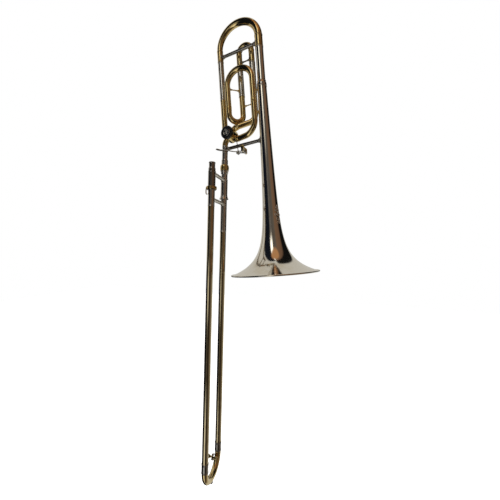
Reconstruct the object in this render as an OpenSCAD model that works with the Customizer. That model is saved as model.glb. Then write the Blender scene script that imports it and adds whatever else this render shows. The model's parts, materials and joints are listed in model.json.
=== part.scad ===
// B flat / F tenor trombone, slide closed, standing as it is carried: +Z runs up the hand slide.
// The origin is the centre of the mouthpiece receiver's mouth, on the axis of the mouthpiece-side
// slide tube. The bell-side slide tube stands at +Y. Sizes are in millimetres.

/* [Layout] */
// Distance between the two slide tube axes
slide_spacing = 80; // [78:0.5:83]
// Angle between the plane of the slide and the plane of the bell section
bell_angle = 81.3; // [79:0.1:84]
// Angle by which the bell section leans away from the slide axis, so that the rim clears the slide
flare_out = 5.75; // [5:0.05:6.5]
// Distance between the neck pipe axis and the bell axis
bell_spacing = 112; // [110:0.5:114]
// Height of the bend in the neck, above the mouthpiece receiver
neck_kink_z = 97.4; // [95:0.2:100]

/* [Hand slide] */
// Lowest point of the slide bow's centre line, below the mouthpiece receiver
slide_bottom = 783; // [760:1:800]
// Bore radius of the inner slide tubes
slide_bore_r = 6.95; // [6.9:0.01:7]
// Outer radius of the inner slide tubes
inner_tube_r = 7.25; // [7.2:0.01:7.28]
// Outer radius of the stockings at the ends of the inner slide tubes
stocking_r = 7.38; // [7.36:0.01:7.4]
// Inner radius of the outer slide tubes
outer_bore_r = 7.45; // [7.44:0.01:7.46]
// Outer radius of the outer slide tubes
outer_tube_r = 7.85; // [7.8:0.01:7.9]
// Height of the upper slide brace, which joins the cork barrels
upper_brace_z = -24; // [-27:0.5:-23]
// Height of the lower slide brace, which the right hand moves
lower_brace_z = -87; // [-92:0.5:-86]

/* [Bell] */
// Radius over the rolled rim
rim_r = 107; // [105:0.5:108]
// Distance of the rim below the kink in the neck, along the bell axis
rim_drop = 371.5; // [368:0.5:374]
// Radius of the rolled rim itself
rim_bead_r = 2.2; // [1.8:0.1:2.6]
// Wall of the bell
bell_wall = 0.6; // [0.5:0.1:0.8]

/* [Rotary valve] */
// Radius of the rotor
rotor_r = 14.5; // [14.4:0.05:14.6]
// Radius of the air passages through the rotor
passage_r = 6.4; // [6.2:0.1:6.5]
// Half the length of the valve casing
casing_half = 14; // [13.5:0.1:14.5]

/* [Tuning slides] */
// Height above the kink of the top end of the main tuning slide's outer sleeves
main_sleeve_top = 195.5; // [190:0.5:198]
// Height above the kink of the top end of the F tuning slide's outer sleeves
f_sleeve_top = 178; // [174:0.5:180]

/* [Hidden] */
$fn = 64;
// Straight lengths of bent pipe grip the bends by this overlap, on this much more wall
lap = 0.1;
swell = 0.03;
// Film of solder or lacquer between two pieces that are joined over a curved face
solder = 0.05;
right_y = slide_spacing;
bow_z = -(slide_bottom - slide_spacing / 2);
bumper_top = -slide_bottom - outer_tube_r - 1.6;

// Cork barrels and the felts inside them
barrel_r = 9.2;
barrel_bore_r = 8.5;
barrel_top = -22;
skirt_length = 11;
left_skirt_r = 10.9;
right_skirt_r = 12.3;
left_barrel_bottom = -66;
right_barrel_bottom = -74;
felt_top = -26;
felt_bottom = -30;
slide_top = felt_bottom - 0.3;
sleeve_r = 8.15;
left_sleeve_bottom = -105;
right_sleeve_bottom = -161;
slide_brace_r = 4.1;
slide_flange_r = 6.2;
slide_flange = 5;

// Slide lock: a ring round the left skirt, and the lug on the outer slide that its hook passes under
ring_low = -64;
ring_high = -58;
hook_low = -78;
hook_w = 6;
lug_low = -75.5;
lug_h = 3;

// Rotary valve: where its axis stands beside the neck, and where its knuckles begin and end
knuckle_r = 9;
tube_r = 7.5;
tube_bore_r = 6.9;
casing_bore_r = rotor_r + 0.05;
casing_r = casing_bore_r + 1.8;
root_r = casing_r + 0.6;
root = root_r * cos(45);
port = rotor_r * cos(45);
valve_a = root + knuckle_r * (1 - cos(45));
valve_c = -4.5;
return_rise = 15;
stub = 2;
port_a = valve_a - root;
port_c = valve_c - root;
// Radius of the lower knuckle, which brings it exactly onto the slide's axis
neck_bend_r = (port_a - port_c * tan(flare_out))
    / (cos(flare_out) - cos(45) + tan(flare_out) * (sin(flare_out) - cos(45)));
// Ends of the knuckles
upper_joint_c = valve_c + root + knuckle_r * sin(45) + stub;
lower_joint_z = neck_kink_z + (port_c - neck_bend_r * (cos(45) - sin(flare_out))) / cos(flare_out) - stub;

// Bell: throat, taper and flare of its outside, as a function of distance from the rim
throat_r = 9.9;
taper = 0.0165;
flare_length = 120;
flare_gain = rim_r - rim_bead_r - throat_r - taper * (main_sleeve_top + rim_drop);
bell_top = 100;

// F attachment: near layer b = near_b, far layer b = far_b, and the places of its four long tubes
near_b = -10;
far_b = 17.2;
f_tube_r = 7.25;
f_bore_r = 6.75;
a_near_left = 20.5;
a_near_right = 91;
a_far_left = 47.7;
a_far_right = 83.2;
lower_branch_c = valve_c - root - knuckle_r * (1 - cos(45));
crook_split = 60;
upper_crook_c = 119.5;
lower_crook_c = 46;
f_sleeve_bottom = 95;
f_bow_c = 212.5;
f_sleeve_r = 8;

// Main tuning slide
main_bow_c = 226.5;
main_bow_r = 8.6;
neck_sleeve_r = 7.7;
bell_sleeve_r = 10.1;
sleeve_bottom = 100;

// Brace between the neck and the bell
main_brace_c = -39;
main_brace_r = 4.4;

// Thumb lever and its link rod
pivot_a = 47;
pivot_c = -53;
lever_arm = 24;
lever_turn = 22;
stud_r = 6.5;
link_b = 24;

function bell_outer(c) = throat_r + taper * (main_sleeve_top - c)
    + flare_gain * pow(1 + (c + rim_drop) / flare_length, -4);
function bell_slope(c) = taper + 4 * flare_gain / flare_length * pow(1 + (c + rim_drop) / flare_length, -5);
function unit(v) = v / norm(v);
function polar(r, angle) = [r * cos(angle), 0, r * sin(angle)];

// ---- frames -------------------------------------------------------------------------------

// Axis of the bell-side slide tube
module right_side() {
    translate([0, right_y, 0]) children();
}

// Bell section: x towards the bell, y away from the player's left side, z up the bell axis
module bell_section() {
    translate([0, right_y, neck_kink_z]) rotate([0, 0, bell_angle - 90]) rotate([0, -flare_out, 0])
        children();
}

module valve() {
    bell_section() translate([valve_a, 0, valve_c]) children();
}

// Puts the origin at a point, z along one direction and x along another, perpendicular one
module frame(origin, x, z) {
    y = cross(z, x);
    multmatrix([
        [x[0], y[0], z[0], origin[0]],
        [x[1], y[1], z[1], origin[1]],
        [x[2], y[2], z[2], origin[2]],
        [0, 0, 0, 1]
    ]) children();
}

// Puts z along the given direction, starting from a point
module aim(from, direction) {
    z = unit(direction);
    frame(from, unit(cross(abs(z[1]) > 0.95 ? [1, 0, 0] : [0, 1, 0], z)), z) children();
}

// ---- shapes -------------------------------------------------------------------------------

// A solid of revolution about z from [radius, z] points
module turned(points) {
    rotate_extrude() polygon(points);
}

module tube(r_out, r_in, low, high) {
    translate([0, 0, low]) difference() {
        cylinder(r = r_out, h = high - low);
        translate([0, 0, -1]) cylinder(r = r_in, h = high - low + 2);
    }
}

module disc_y(r, low, high) {
    translate([0, high, 0]) rotate([90, 0, 0]) cylinder(r = r, h = high - low);
}

module ring_y(r_out, r_in, low, high) {
    difference() {
        disc_y(r_out, low, high);
        disc_y(r_in, low - 1, high + 1);
    }
}

// Runs of pipe. The corner points of a run are turned into legs of [length, direction of the
// next bend round the pipe, bend angle, bend radius], laid one after the other along z.
function turn_to(a, b) = unit(b - a * (a * b));
function bend_cut(bend_r, a, b) = bend_r * tan(acos(a * b) / 2);
function directions(points) = [for (i = [1:len(points) - 1]) unit(points[i] - points[i - 1])];
function roll_at(d, i) = i == 0 ? 0 : let(
    side = turn_to(d[i - 1], d[i]),
    next = turn_to(d[i], d[i + 1]),
    turned = side * (d[i - 1] * d[i]) - d[i - 1] * norm(cross(d[i - 1], d[i]))
) atan2(next * cross(d[i - 1], side), next * turned);

module laid(legs, r_out, r_in, i = 0) {
    leg = legs[i];
    if (leg[0] > 0) tube(
        r_out + swell, r_in - swell, i > 0 ? -lap : 0, leg[0] + (i < len(legs) - 1 ? lap : 0));
    if (i < len(legs) - 1) translate([0, 0, leg[0]]) rotate([0, 0, leg[1]])
        translate([leg[3], 0, 0]) {
            rotate([90, 0, 180]) rotate_extrude(angle = leg[2]) translate([leg[3], 0]) difference() {
                circle(r_out);
                circle(r_in);
            }
            rotate([0, leg[2], 0]) translate([-leg[3], 0, 0]) laid(legs, r_out, r_in, i + 1);
        }
}

module pipe(points, bends, r_out, r_in) {
    d = directions(points);
    last = len(d) - 1;
    cuts = [for (i = [0:last + 1]) i == 0 || i > last ? 0 : bend_cut(bends[i - 1], d[i - 1], d[i])];
    legs = [for (i = [0:last]) let(length = norm(points[i + 1] - points[i]) - cuts[i] - cuts[i + 1])
        i < last ? [length, roll_at(d, i), acos(d[i] * d[i + 1]), bends[i]] : [length]];
    frame(points[0], turn_to(d[0], d[1]), d[0]) laid(legs, r_out, r_in);
}

// Half-round crook in the x-z plane, its centre at the origin, opening downwards
module crook(bend_r, r_out, r_in) {
    rotate([90, 0, 0]) rotate_extrude(angle = 180) translate([bend_r, 0]) difference() {
        circle(r_out);
        circle(r_in);
    }
}

// Round bar between two points with a flange at each end
module brace_bar(p, q, r, flange_r, flange_h) {
    aim(p, q - p) {
        cylinder(r = r, h = norm(q - p));
        cylinder(r = flange_r, h = flange_h);
        translate([0, 0, norm(q - p) - flange_h]) cylinder(r = flange_r, h = flange_h);
    }
}

// Ferrule with a bead at each end
module beaded(r_in, r_out, bead_r, low, high) {
    turned([
        [r_in, low], [bead_r, low], [bead_r, low + 2.4], [r_out, low + 3.2],
        [r_out, high - 3.2], [bead_r, high - 2.4], [bead_r, high], [r_in, high]
    ]);
}

// ---- hand slide: inner half, fixed to the bell section -----------------------------------------

module mouthpiece_receiver() {
    land_r = 6.45;
    land = 5;
    color("dimgray") turned([
        [land_r, 0], [8, 0], [8, -2.4], [7.4, -3.4], [7.4, -15], [8.6, -16], [8.6, barrel_top],
        [5.9, barrel_top], [land_r, -land]
    ]);
}

module leadpipe() {
    color("darkkhaki") turned([
        [5.9, barrel_top - 1], [6.9, barrel_top - 1], [6.9, -230], [6.6, -230], [5.6, -70]
    ]);
}

// Cork barrel: a cup that holds the felt, with a flared skirt at its mouth
module cork_barrel(bottom, skirt_r) {
    skirt_top = bottom + skirt_length;
    skirt_wall = 0.8;
    flare = [
        for (f = [1, 0.75, 0.5, 0.25, 0]) [(skirt_r - barrel_r) * pow(1 - f, 1.7), bottom + f * skirt_length]
    ];
    turned(concat(
        [[inner_tube_r + solder, barrel_top - solder], [barrel_r, barrel_top - solder]],
        [for (p = flare) [barrel_r + p[0], p[1]]],
        [for (i = [len(flare) - 1:-1:1]) [barrel_r - skirt_wall + flare[i][0], flare[i][1]]],
        [[barrel_bore_r, skirt_top], [barrel_bore_r, felt_top], [inner_tube_r + solder, felt_top]]
    ));
}

module left_cork_barrel() {
    color("dimgray") cork_barrel(left_barrel_bottom, left_skirt_r);
}

module right_cork_barrel() {
    color("silver") right_side() cork_barrel(right_barrel_bottom, right_skirt_r);
}

// Tube and threaded collar that carry the bell section, with the tenon that enters the neck
module slide_tenon() {
    color("silver") right_side() turned([
        [slide_bore_r, barrel_top], [8.3, barrel_top], [8.3, -6], [10, -5], [10, 7],
        [7.38, 7], [7.2, 27], [slide_bore_r, 27]
    ]);
}

module upper_slide_brace() {
    color("gainsboro") difference() {
        translate([0, 0, upper_brace_z])
            brace_bar([0, 8, 0], [0, right_y - 8, 0], slide_brace_r, slide_flange_r, slide_flange);
        for (y = [0, right_y]) translate([0, y, 0]) cylinder(r = barrel_r + solder, h = 80, center = true);
    }
}

// Inner slide tube with its thicker stocking
module inner_tube() {
    low = bow_z + 28;
    stocking = low + 108;
    turned([
        [slide_bore_r, barrel_top - 1], [inner_tube_r, barrel_top - 1], [inner_tube_r, stocking + 4],
        [stocking_r, stocking], [stocking_r, low + 1], [slide_bore_r + 0.2, low], [slide_bore_r, low]
    ]);
}

module inner_tube_left() {
    color("gainsboro") inner_tube();
}

module inner_tube_right() {
    color("gainsboro") right_side() inner_tube();
}

module cork_felts() {
    color("maroon") for (y = [0, right_y]) translate([0, y, 0])
        tube(barrel_bore_r - solder, inner_tube_r + 0.1, felt_bottom, felt_top - solder);
}

// Ring round the left skirt, with a hook that turns under the lug on the outer slide
module slide_lock_ring() {
    ring_bore_r = left_skirt_r + 0.3;
    hook_at = 205;
    color("goldenrod") {
        tube(ring_bore_r + 1.2, ring_bore_r, ring_low, ring_high);
        rotate([0, 0, hook_at]) {
            translate([ring_bore_r + 0.1, -hook_w / 2, hook_low]) cube([2, hook_w, ring_high - hook_low - 1]);
            translate([9.4, -hook_w / 2, hook_low]) cube([3, hook_w, 2]);
        }
    }
}

// ---- hand slide: outer half, which moves -------------------------------------------------------

module outer_tube_left() {
    color("darkkhaki") tube(outer_tube_r, outer_bore_r, bow_z + 8, slide_top);
}

module outer_tube_right() {
    color("darkkhaki") right_side() tube(outer_tube_r, outer_bore_r, bow_z + 8, slide_top);
}

// Sleeve over the top of an outer slide tube, with a bead at its lower end
module grip_sleeve(low) {
    tube(sleeve_r, outer_tube_r + 0.02, low, slide_top);
    tube(sleeve_r + 0.35, sleeve_r, low, low + 2);
}

module grip_sleeves() {
    color("silver") {
        grip_sleeve(left_sleeve_bottom);
        right_side() grip_sleeve(right_sleeve_bottom);
    }
}

module lower_slide_brace() {
    color("gainsboro") difference() {
        translate([0, 0, lower_brace_z])
            brace_bar([0, 7, 0], [0, right_y - 7, 0], slide_brace_r, slide_flange_r, slide_flange);
        for (y = [0, right_y]) translate([0, y, lower_brace_z - 20]) cylinder(r = sleeve_r + solder, h = 40);
    }
}

module lock_lug() {
    lug_at = 160;
    color("goldenrod") difference() {
        rotate([0, 0, lug_at]) translate([6, -2.5, lug_low]) cube([4, 5, lug_h]);
        translate([0, 0, lug_low - 4]) cylinder(r = sleeve_r + solder, h = lug_h + 8);
    }
}

module bow_ferrules() {
    color("silver") for (y = [0, right_y]) translate([0, y, 0])
        beaded(outer_tube_r + 0.02, 8.4, 8.9, bow_z + 1, bow_z + 25);
}

module slide_bow() {
    color("darkgoldenrod") {
        difference() {
            union() {
                translate([0, right_y / 2, bow_z]) rotate([180, 0, 90])
                    crook(right_y / 2, outer_tube_r, outer_bore_r);
                for (y = [0, right_y]) translate([0, y, bow_z]) tube(outer_tube_r, outer_bore_r, 0, 8);
            }
            water_key_frame() disc_y(2, -12, -5);
        }
        translate([0, right_y / 2, bumper_top]) cylinder(r = 5, h = 2.4);
        water_key_frame() ring_y(3.2, 2, -11.5, -outer_tube_r + 0.3);
    }
}

module bow_bumper() {
    bumper_r = 4.4;
    color("black") translate([0, right_y / 2, 0]) turned(concat(
        [[0, bumper_top]],
        [for (t = [0:15:90]) [bumper_r * cos(t), bumper_top - 3.5 - bumper_r * sin(t)]]
    ));
}

// Frame of the water key on the bow: z along the tube, y out of the slide's U, x across
module water_key_frame() {
    down = 22;
    translate([0, right_y / 2, bow_z]) rotate([-down, 0, 0]) translate([0, right_y / 2, 0])
        children();
}

key_pivot_x = -9.5;
key_pivot_y = -11;

module water_key_saddle() {
    color("silver") water_key_frame() difference() {
        for (z = [-7, 5]) translate([key_pivot_x - 2.4, key_pivot_y - 2.4, z]) cube([7, 8.5, 2]);
        translate([0, -0.5, -10]) cylinder(r = outer_tube_r + 0.3, h = 20);
        translate([key_pivot_x, key_pivot_y, -10]) cylinder(r = 1.1, h = 20);
    }
}

module water_key_pin() {
    color("silver") water_key_frame() translate([key_pivot_x, key_pivot_y, -7.6]) cylinder(r = 1.08, h = 15.2);
}

// Key lever: barrel on the pin, an arm across to the cork and a touch piece on the other side
module water_key_lever() {
    color("gray") water_key_frame() difference() {
        union() {
            translate([key_pivot_x, key_pivot_y, -4.6]) cylinder(r = 2.4, h = 9.2);
            translate([key_pivot_x, -15.6, -2.5]) cube([13, 1.6, 5]);
            translate([key_pivot_x - 1.2, -15.6, -2.5]) cube([2.4, 4, 5]);
            translate([0, -14, 0]) rotate([90, 0, 0]) cylinder(r = 4, h = 1.6);
            translate([key_pivot_x - 9, key_pivot_y - 0.8, -2.5]) cube([8, 1.6, 5]);
            translate([key_pivot_x - 11, key_pivot_y + 0.8, 0]) rotate([90, 0, 0]) cylinder(r = 5.2, h = 1.6);
        }
        translate([key_pivot_x, key_pivot_y, -6]) cylinder(r = 1.15, h = 12);
    }
}

module water_key_cork() {
    color("peru") water_key_frame() disc_y(3.6, -14 + solder, -11.8);
}

module water_key_spring() {
    color("silver") water_key_frame() translate([key_pivot_x, key_pivot_y, 0])
        for (z = [-4.6, 3.8]) translate([0, 0, z]) tube(3.3, 2.5, 0, 0.8);
}

// ---- neck --------------------------------------------------------------------------------------

module slide_nut() {
    nut_r = 11.5;
    bulge = [for (t = [-60:20:60]) [nut_r - 1.4 + 1.4 * cos(t), 8.5 + 7.2 * sin(t)]];
    color("goldenrod") right_side() turned(concat(
        [[10.05, 1], [10.9, 1]], bulge, [[9.6, 17], [8.7, 17], [8.7, 11.2], [10.05, 11.2]]
    ));
}

module neck_receiver() {
    color("silver") right_side() turned([
        [7.42, 7.3], [9.7, 7.3], [9.7, 11], [8.6, 11], [8.6, 29], [tube_r + 0.4, 31],
        [tube_r + solder, 31], [tube_r + solder, 27.5], [7.42, 27.5]
    ]);
}

module neck_pipe_lower() {
    color("silver") right_side() tube(tube_r, tube_bore_r, 27.5, lower_joint_z);
}

module neck_pipe_upper() {
    color("silver") bell_section() tube(tube_r, tube_bore_r, upper_joint_c, sleeve_bottom);
}

module neck_sleeve() {
    color("silver") bell_section() {
        tube(neck_sleeve_r, 7.25, sleeve_bottom, main_sleeve_top);
        beaded(tube_r + solder, 7.9, 8.1, sleeve_bottom - 9, sleeve_bottom);
    }
}

// ---- rotary valve ------------------------------------------------------------------------------

// Pairs of [direction of a port round the rotor, direction in which its knuckle ends]
ports = [[135, 90], [45, return_rise], [-45, 0], [-135, -90 - flare_out]];

module rotor_casing() {
    color("goldenrod") valve() difference() {
        union() {
            disc_y(casing_r, -casing_half, casing_half);
            for (way = ports) rotate([0, 90 - way[0], 0])
                translate([0, 0, 8]) cylinder(r = tube_r, h = root_r - 8);
        }
        disc_y(casing_bore_r, -casing_half - 1, casing_half - 2.4);
        disc_y(4.05, 0, casing_half + 1);
        for (way = ports) rotate([0, 90 - way[0], 0]) translate([0, 0, 5]) cylinder(r = tube_bore_r, h = 20);
    }
}

// The four bent stubs soldered to the casing over its ports
module knuckles() {
    color("goldenrod") valve() for (way = ports) rotate([0, 90 - way[0], 0]) translate([0, 0, root_r])
        laid([
            [0, way[1] < way[0] ? 0 : 180, abs(way[1] - way[0]), way[0] == -135 ? neck_bend_r : knuckle_r],
            [stub]
        ], tube_r, tube_bore_r);
}

module rotor() {
    passage_centre = rotor_r * 1.68;
    passage_bend = norm([passage_centre - port, port]);
    color("khaki") valve() {
        difference() {
            disc_y(rotor_r, -11.2, 11.3);
            for (side = [-1, 1]) translate([side * passage_centre, 0, 0]) rotate([90, 0, 0])
                rotate_extrude() translate([passage_bend, 0]) circle(passage_r);
        }
        disc_y(3.5, -13.4, -11.2);
        disc_y(4, 11.3, 20);
    }
}

module rotor_bearing_plate() {
    color("khaki") valve() ring_y(casing_bore_r - 0.03, 3.55, -casing_half + 0.2, -11.3);
}

module rotor_cap() {
    color("black") valve() difference() {
        union() {
            disc_y(16.8, -casing_half - 6.5, -casing_half - solder);
            disc_y(15.2, -casing_half - 7.5, -casing_half - 6);
        }
        disc_y(9.5, -casing_half - 9, -casing_half - 6.2);
        disc_y(13, -casing_half - 4.5, -casing_half + 1);
    }
}

module cap_medallion() {
    color("silver") valve() disc_y(9.45, -casing_half - 7.9, -casing_half - 6.25);
}

// Direction of each stop post round the rotor, either side of the crank's swing
stop_angle = 81.5;

module stop_plate() {
    color("khaki") valve() difference() {
        union() {
            disc_y(13, casing_half + solder, casing_half + 2);
            for (side = [-1, 1]) rotate([0, -side * stop_angle, 0])
                translate([9.6, casing_half + 1, -3]) cube([3, 4.6, 6]);
        }
        disc_y(5, casing_half - 1, casing_half + 8);
    }
}

module stop_corks() {
    color("tan") valve() for (side = [-1, 1]) rotate([0, -side * stop_angle, 0])
        translate([9.6, casing_half + 2.1, side < 0 ? 3.05 : -4.85]) cube([3, 3.2, 1.8]);
}

// Crank on the rotor's spindle: a hub with the link stud and a finger that meets the corks
module stop_arm() {
    arm_b = casing_half + 2.4;
    color("silver") valve() difference() {
        union() {
            disc_y(8.6, arm_b, arm_b + 3);
            rotate([0, -45, 0]) {
                translate([stud_r, 0, 0]) disc_y(1.6, arm_b + 1, link_b - 1.8);
                translate([5, arm_b + 0.2, -1.5]) cube([7.4, 2.6, 3]);
            }
        }
        disc_y(4.04, arm_b - 1, arm_b + 4);
    }
}

module stop_arm_screw() {
    color("silver") valve() difference() {
        disc_y(3.6, 20.05, 21.6);
        translate([-4, 21, -0.5]) cube([8, 2, 1]);
    }
}

// ---- main tuning slide -------------------------------------------------------------------------

leg_low = 106;

module main_tuning_legs() {
    color("gainsboro") bell_section() {
        tube(7.18, 6.85, leg_low, main_bow_c);
        translate([bell_spacing, 0, 0]) tube(9.53, 9.2, leg_low, main_bow_c);
    }
}

module main_tuning_bow() {
    color("darkgoldenrod") bell_section() {
        translate([bell_spacing / 2, 0, main_bow_c]) crook(bell_spacing / 2, main_bow_r, main_bow_r - 0.6);
        beaded(7.18 + 0.02, 7.7, 8.1, main_sleeve_top + 0.3, main_bow_c);
        translate([bell_spacing, 0, 0]) beaded(9.55, 10.1, 10.6, main_sleeve_top + 0.3, main_bow_c);
    }
}

module main_tuning_brace() {
    height = 209;
    color("dimgray") bell_section() difference() {
        brace_bar([6, 0, height], [bell_spacing - 8, 0, height], 4.2, 5.6, 4.5);
        translate([0, 0, height - 20]) cylinder(r = 7.7 + solder, h = 40);
        translate([bell_spacing, 0, height - 20]) cylinder(r = 10.1 + solder, h = 40);
    }
}

// ---- bell --------------------------------------------------------------------------------------

module bell_sleeve() {
    color("silver") bell_section() translate([bell_spacing, 0, 0])
        tube(bell_sleeve_r, 9.6, bell_top, main_sleeve_top);
}

// Stepped ferrule that joins the bell's tail to the sleeve of the tuning slide
module bell_ferrule() {
    r = bell_outer(bell_top - 8) + solder;
    color("silver") bell_section() translate([bell_spacing, 0, bell_top]) turned([
        [r, -8], [r + 0.9, -8], [r + 0.9, -6], [r + 0.6, -5], [r + 0.6, 1], [bell_sleeve_r + 0.9, 5.5],
        [bell_sleeve_r + 1.3, 6.5], [bell_sleeve_r + 1.3, 8], [bell_sleeve_r, 8], [bell_sleeve_r, 0], [r, 0]
    ]);
}

module bell() {
    steps = 40;
    heights = [for (i = [0:steps]) -rim_drop + (bell_top + rim_drop) * pow(i / steps, 2)];
    outside = [for (c = heights) [bell_outer(c), c]];
    inside = [for (i = [steps:-1:0]) [
        bell_outer(heights[i]) - bell_wall * norm([1, bell_slope(heights[i])]), heights[i]
    ]];
    color("lightgray") bell_section() translate([bell_spacing, 0, 0]) rotate_extrude() difference() {
        polygon(concat(outside, inside));
        translate([rim_r - rim_bead_r, -rim_drop]) circle(rim_bead_r);
    }
}

module rim_wire() {
    color("silver") bell_section() translate([bell_spacing, 0, -rim_drop])
        rotate_extrude() translate([rim_r - rim_bead_r, 0]) circle(rim_bead_r);
}

module main_brace() {
    color("dimgray") difference() {
        bell_section()
            brace_bar([2, 0, main_brace_c], [bell_spacing - 10, 0, main_brace_c], main_brace_r, 6.4, 5);
        right_side() cylinder(r = tube_r + solder, h = 100);
        bell_section() translate([bell_spacing, 0, main_brace_c - 12])
            cylinder(r = bell_outer(main_brace_c - 7) + solder, h = 24);
    }
}

// ---- F attachment ------------------------------------------------------------------------------

module f_lower_branch() {
    start = valve_a + root + knuckle_r * sin(45) + stub;
    color("darkgoldenrod") bell_section() pipe([
        [start, 0, lower_branch_c], [start + 6, 0, lower_branch_c],
        [a_near_right, near_b, lower_branch_c], [a_near_right, near_b, crook_split]
    ], [20, 32], f_tube_r, f_bore_r);
}

module f_upper_crook() {
    bend_r = (a_near_right - a_near_left) / 2;
    color("goldenrod") bell_section() translate([0, near_b, 0]) {
        translate([a_near_left + bend_r, 0, upper_crook_c]) crook(bend_r, f_tube_r, f_bore_r);
        for (a = [a_near_left, a_near_right])
            translate([a, 0, 0]) tube(f_tube_r, f_bore_r, crook_split, upper_crook_c);
    }
}

module f_lower_crook() {
    across = [a_far_left - a_near_left, far_b - near_b, 0];
    color("darkgoldenrod") bell_section() frame([a_near_left, near_b, crook_split], unit(across), [0, 0, -1])
        laid([
            [crook_split - lower_crook_c, 0, 180, norm(across) / 2],
            [f_sleeve_bottom - lower_crook_c]
        ], f_tube_r, f_bore_r);
}

module f_return_branch() {
    cut = knuckle_r * tan((45 - return_rise) / 2);
    end = polar(root_r + cut, 45) + polar(cut + stub, return_rise);
    start = [valve_a + end[0], 0, valve_c + end[2]];
    along = a_far_right - start[0];
    color("darkgoldenrod") bell_section() pipe([
        start, start + polar(6, return_rise),
        [a_far_right, far_b, start[2] + along * tan(return_rise)],
        [a_far_right, far_b, f_sleeve_bottom]
    ], [20, 24], f_tube_r, f_bore_r);
}

module f_slide_sleeves() {
    color("silver") bell_section() for (a = [a_far_left, a_far_right]) translate([a, far_b, 0]) {
        tube(f_sleeve_r, 7.05, f_sleeve_bottom, f_sleeve_top);
        beaded(f_sleeve_r, 8.2, 8.5, f_sleeve_bottom, f_sleeve_bottom + 8);
    }
}

module f_slide_legs() {
    color("gainsboro") bell_section() for (a = [a_far_left, a_far_right])
        translate([a, far_b, 0]) tube(6.98, 6.6, f_sleeve_bottom + 7, f_bow_c);
}

module f_slide_bow() {
    bend_r = (a_far_right - a_far_left) / 2;
    color("darkgoldenrod") bell_section() translate([0, far_b, 0]) {
        translate([a_far_left + bend_r, 0, f_bow_c]) crook(bend_r, f_tube_r, f_bore_r);
        for (a = [a_far_left, a_far_right])
            translate([a, 0, 0]) beaded(7, 7.5, 8, f_sleeve_top + 0.3, f_bow_c);
    }
}

module f_slide_brace() {
    height = 188;
    color("dimgray") bell_section() difference() {
        translate([0, far_b, height])
            brace_bar([a_far_left + 6, 0, 0], [a_far_right - 6, 0, 0], 2, 3.6, 3);
        for (a = [a_far_left, a_far_right]) translate([a, far_b, height - 8]) cylinder(r = 7.5 + solder, h = 16);
    }
}

// Fixed stays of the F attachment: [from, to] as [a, b, c] points on the tubes' axes
stays = [
    [[a_near_left, near_b, 112], [a_far_left, far_b, 112]],
    [[a_far_left, far_b, 69.5], [a_far_right, far_b, 69.5]],
    [[a_near_right, near_b, 87], [bell_spacing, 0, 87]],
    [[a_near_right, near_b, 30], [bell_spacing, 0, 30]]
];

// Radius of the tube that a stay's end is soldered to
function on_sleeve(end) = end[1] == far_b && end[2] > f_sleeve_bottom;
function stayed_r(end) = end[0] == bell_spacing ? bell_outer(end[2] - 5)
    : on_sleeve(end) ? f_sleeve_r : f_tube_r;

module f_braces() {
    color("goldenrod") bell_section() difference() {
        for (stay = stays) brace_bar(stay[0], stay[1], 1.7, 1.7, 1);
        for (stay = stays) for (end = stay) translate([end[0], end[1], end[2] - 5])
            cylinder(r = stayed_r(end) + solder, h = 10);
    }
}

// ---- thumb lever -------------------------------------------------------------------------------

module pivot() {
    bell_section() translate([pivot_a, 0, pivot_c]) children();
}

// Two ears under the main brace that hold the lever's pin
module lever_saddle() {
    color("goldenrod") difference() {
        pivot() {
            for (b = [-1.5, 20.5]) translate([-3.5, b - 1.2, -3.5]) cube([7, 2.4, 14]);
            translate([-3.5, -2.7, 8.2]) cube([7, 24.4, 2.3]);
        }
        pivot() disc_y(1.55, -5, 25);
        bell_section() aim([0, 0, main_brace_c], [1, 0, 0])
            cylinder(r = main_brace_r + solder, h = bell_spacing);
    }
}

module lever_pin() {
    color("silver") pivot() disc_y(1.52, -3.2, 22.2);
}

module lever_spring() {
    color("silver") pivot() for (b = [6:1.3:13]) ring_y(4, 3.15, b, b + 0.9);
}

// Paddle and arms of the lever; each row is [a, b, c, half width] along the strap
strap = [
    [0, 3.4, 0, 2], [-22, 0, 2, 2.2], [-36, -10, 5, 2.4], [-53, -12.6, 8, 3], [-66, -13.4, 13, 4.6]
];

module thumb_lever() {
    thick = 2;
    color("silver") pivot() {
        difference() {
            union() {
                disc_y(3.1, 0, 19);
                for (i = [0:len(strap) - 2]) hull() for (s = [strap[i], strap[i + 1]])
                    translate([s[0], s[1], s[2]]) cylinder(r = s[3], h = thick, center = true, $fn = 32);
            }
            disc_y(1.57, -20, 20);
        }
        rotate([0, lever_turn / 2, 0]) difference() {
            union() {
                translate([-lever_arm, 15.6, -1.6]) cube([lever_arm - 2, 3.2, 3.2]);
                translate([-lever_arm, 0, 0]) disc_y(3.2, 15.6, 18.8);
                translate([-lever_arm, 0, 0]) disc_y(1.6, 18.8, link_b - 1.8);
            }
            disc_y(1.57, -1, 20);
        }
    }
}

// Straight link between the lever's stud and the crank's stud, with a ball socket at each end
module link_rod() {
    low = [pivot_a - lever_arm * cos(lever_turn / 2), link_b, pivot_c + lever_arm * sin(lever_turn / 2)];
    high = [valve_a + stud_r * cos(45), link_b, valve_c + stud_r * sin(45)];
    color("dimgray") bell_section() {
        aim(low, high - low) cylinder(r = 1.3, h = norm(high - low));
        for (p = [low, high]) translate([p[0], 0, p[2]]) disc_y(3, link_b - 1.5, link_b + 1.5);
    }
}

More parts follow.
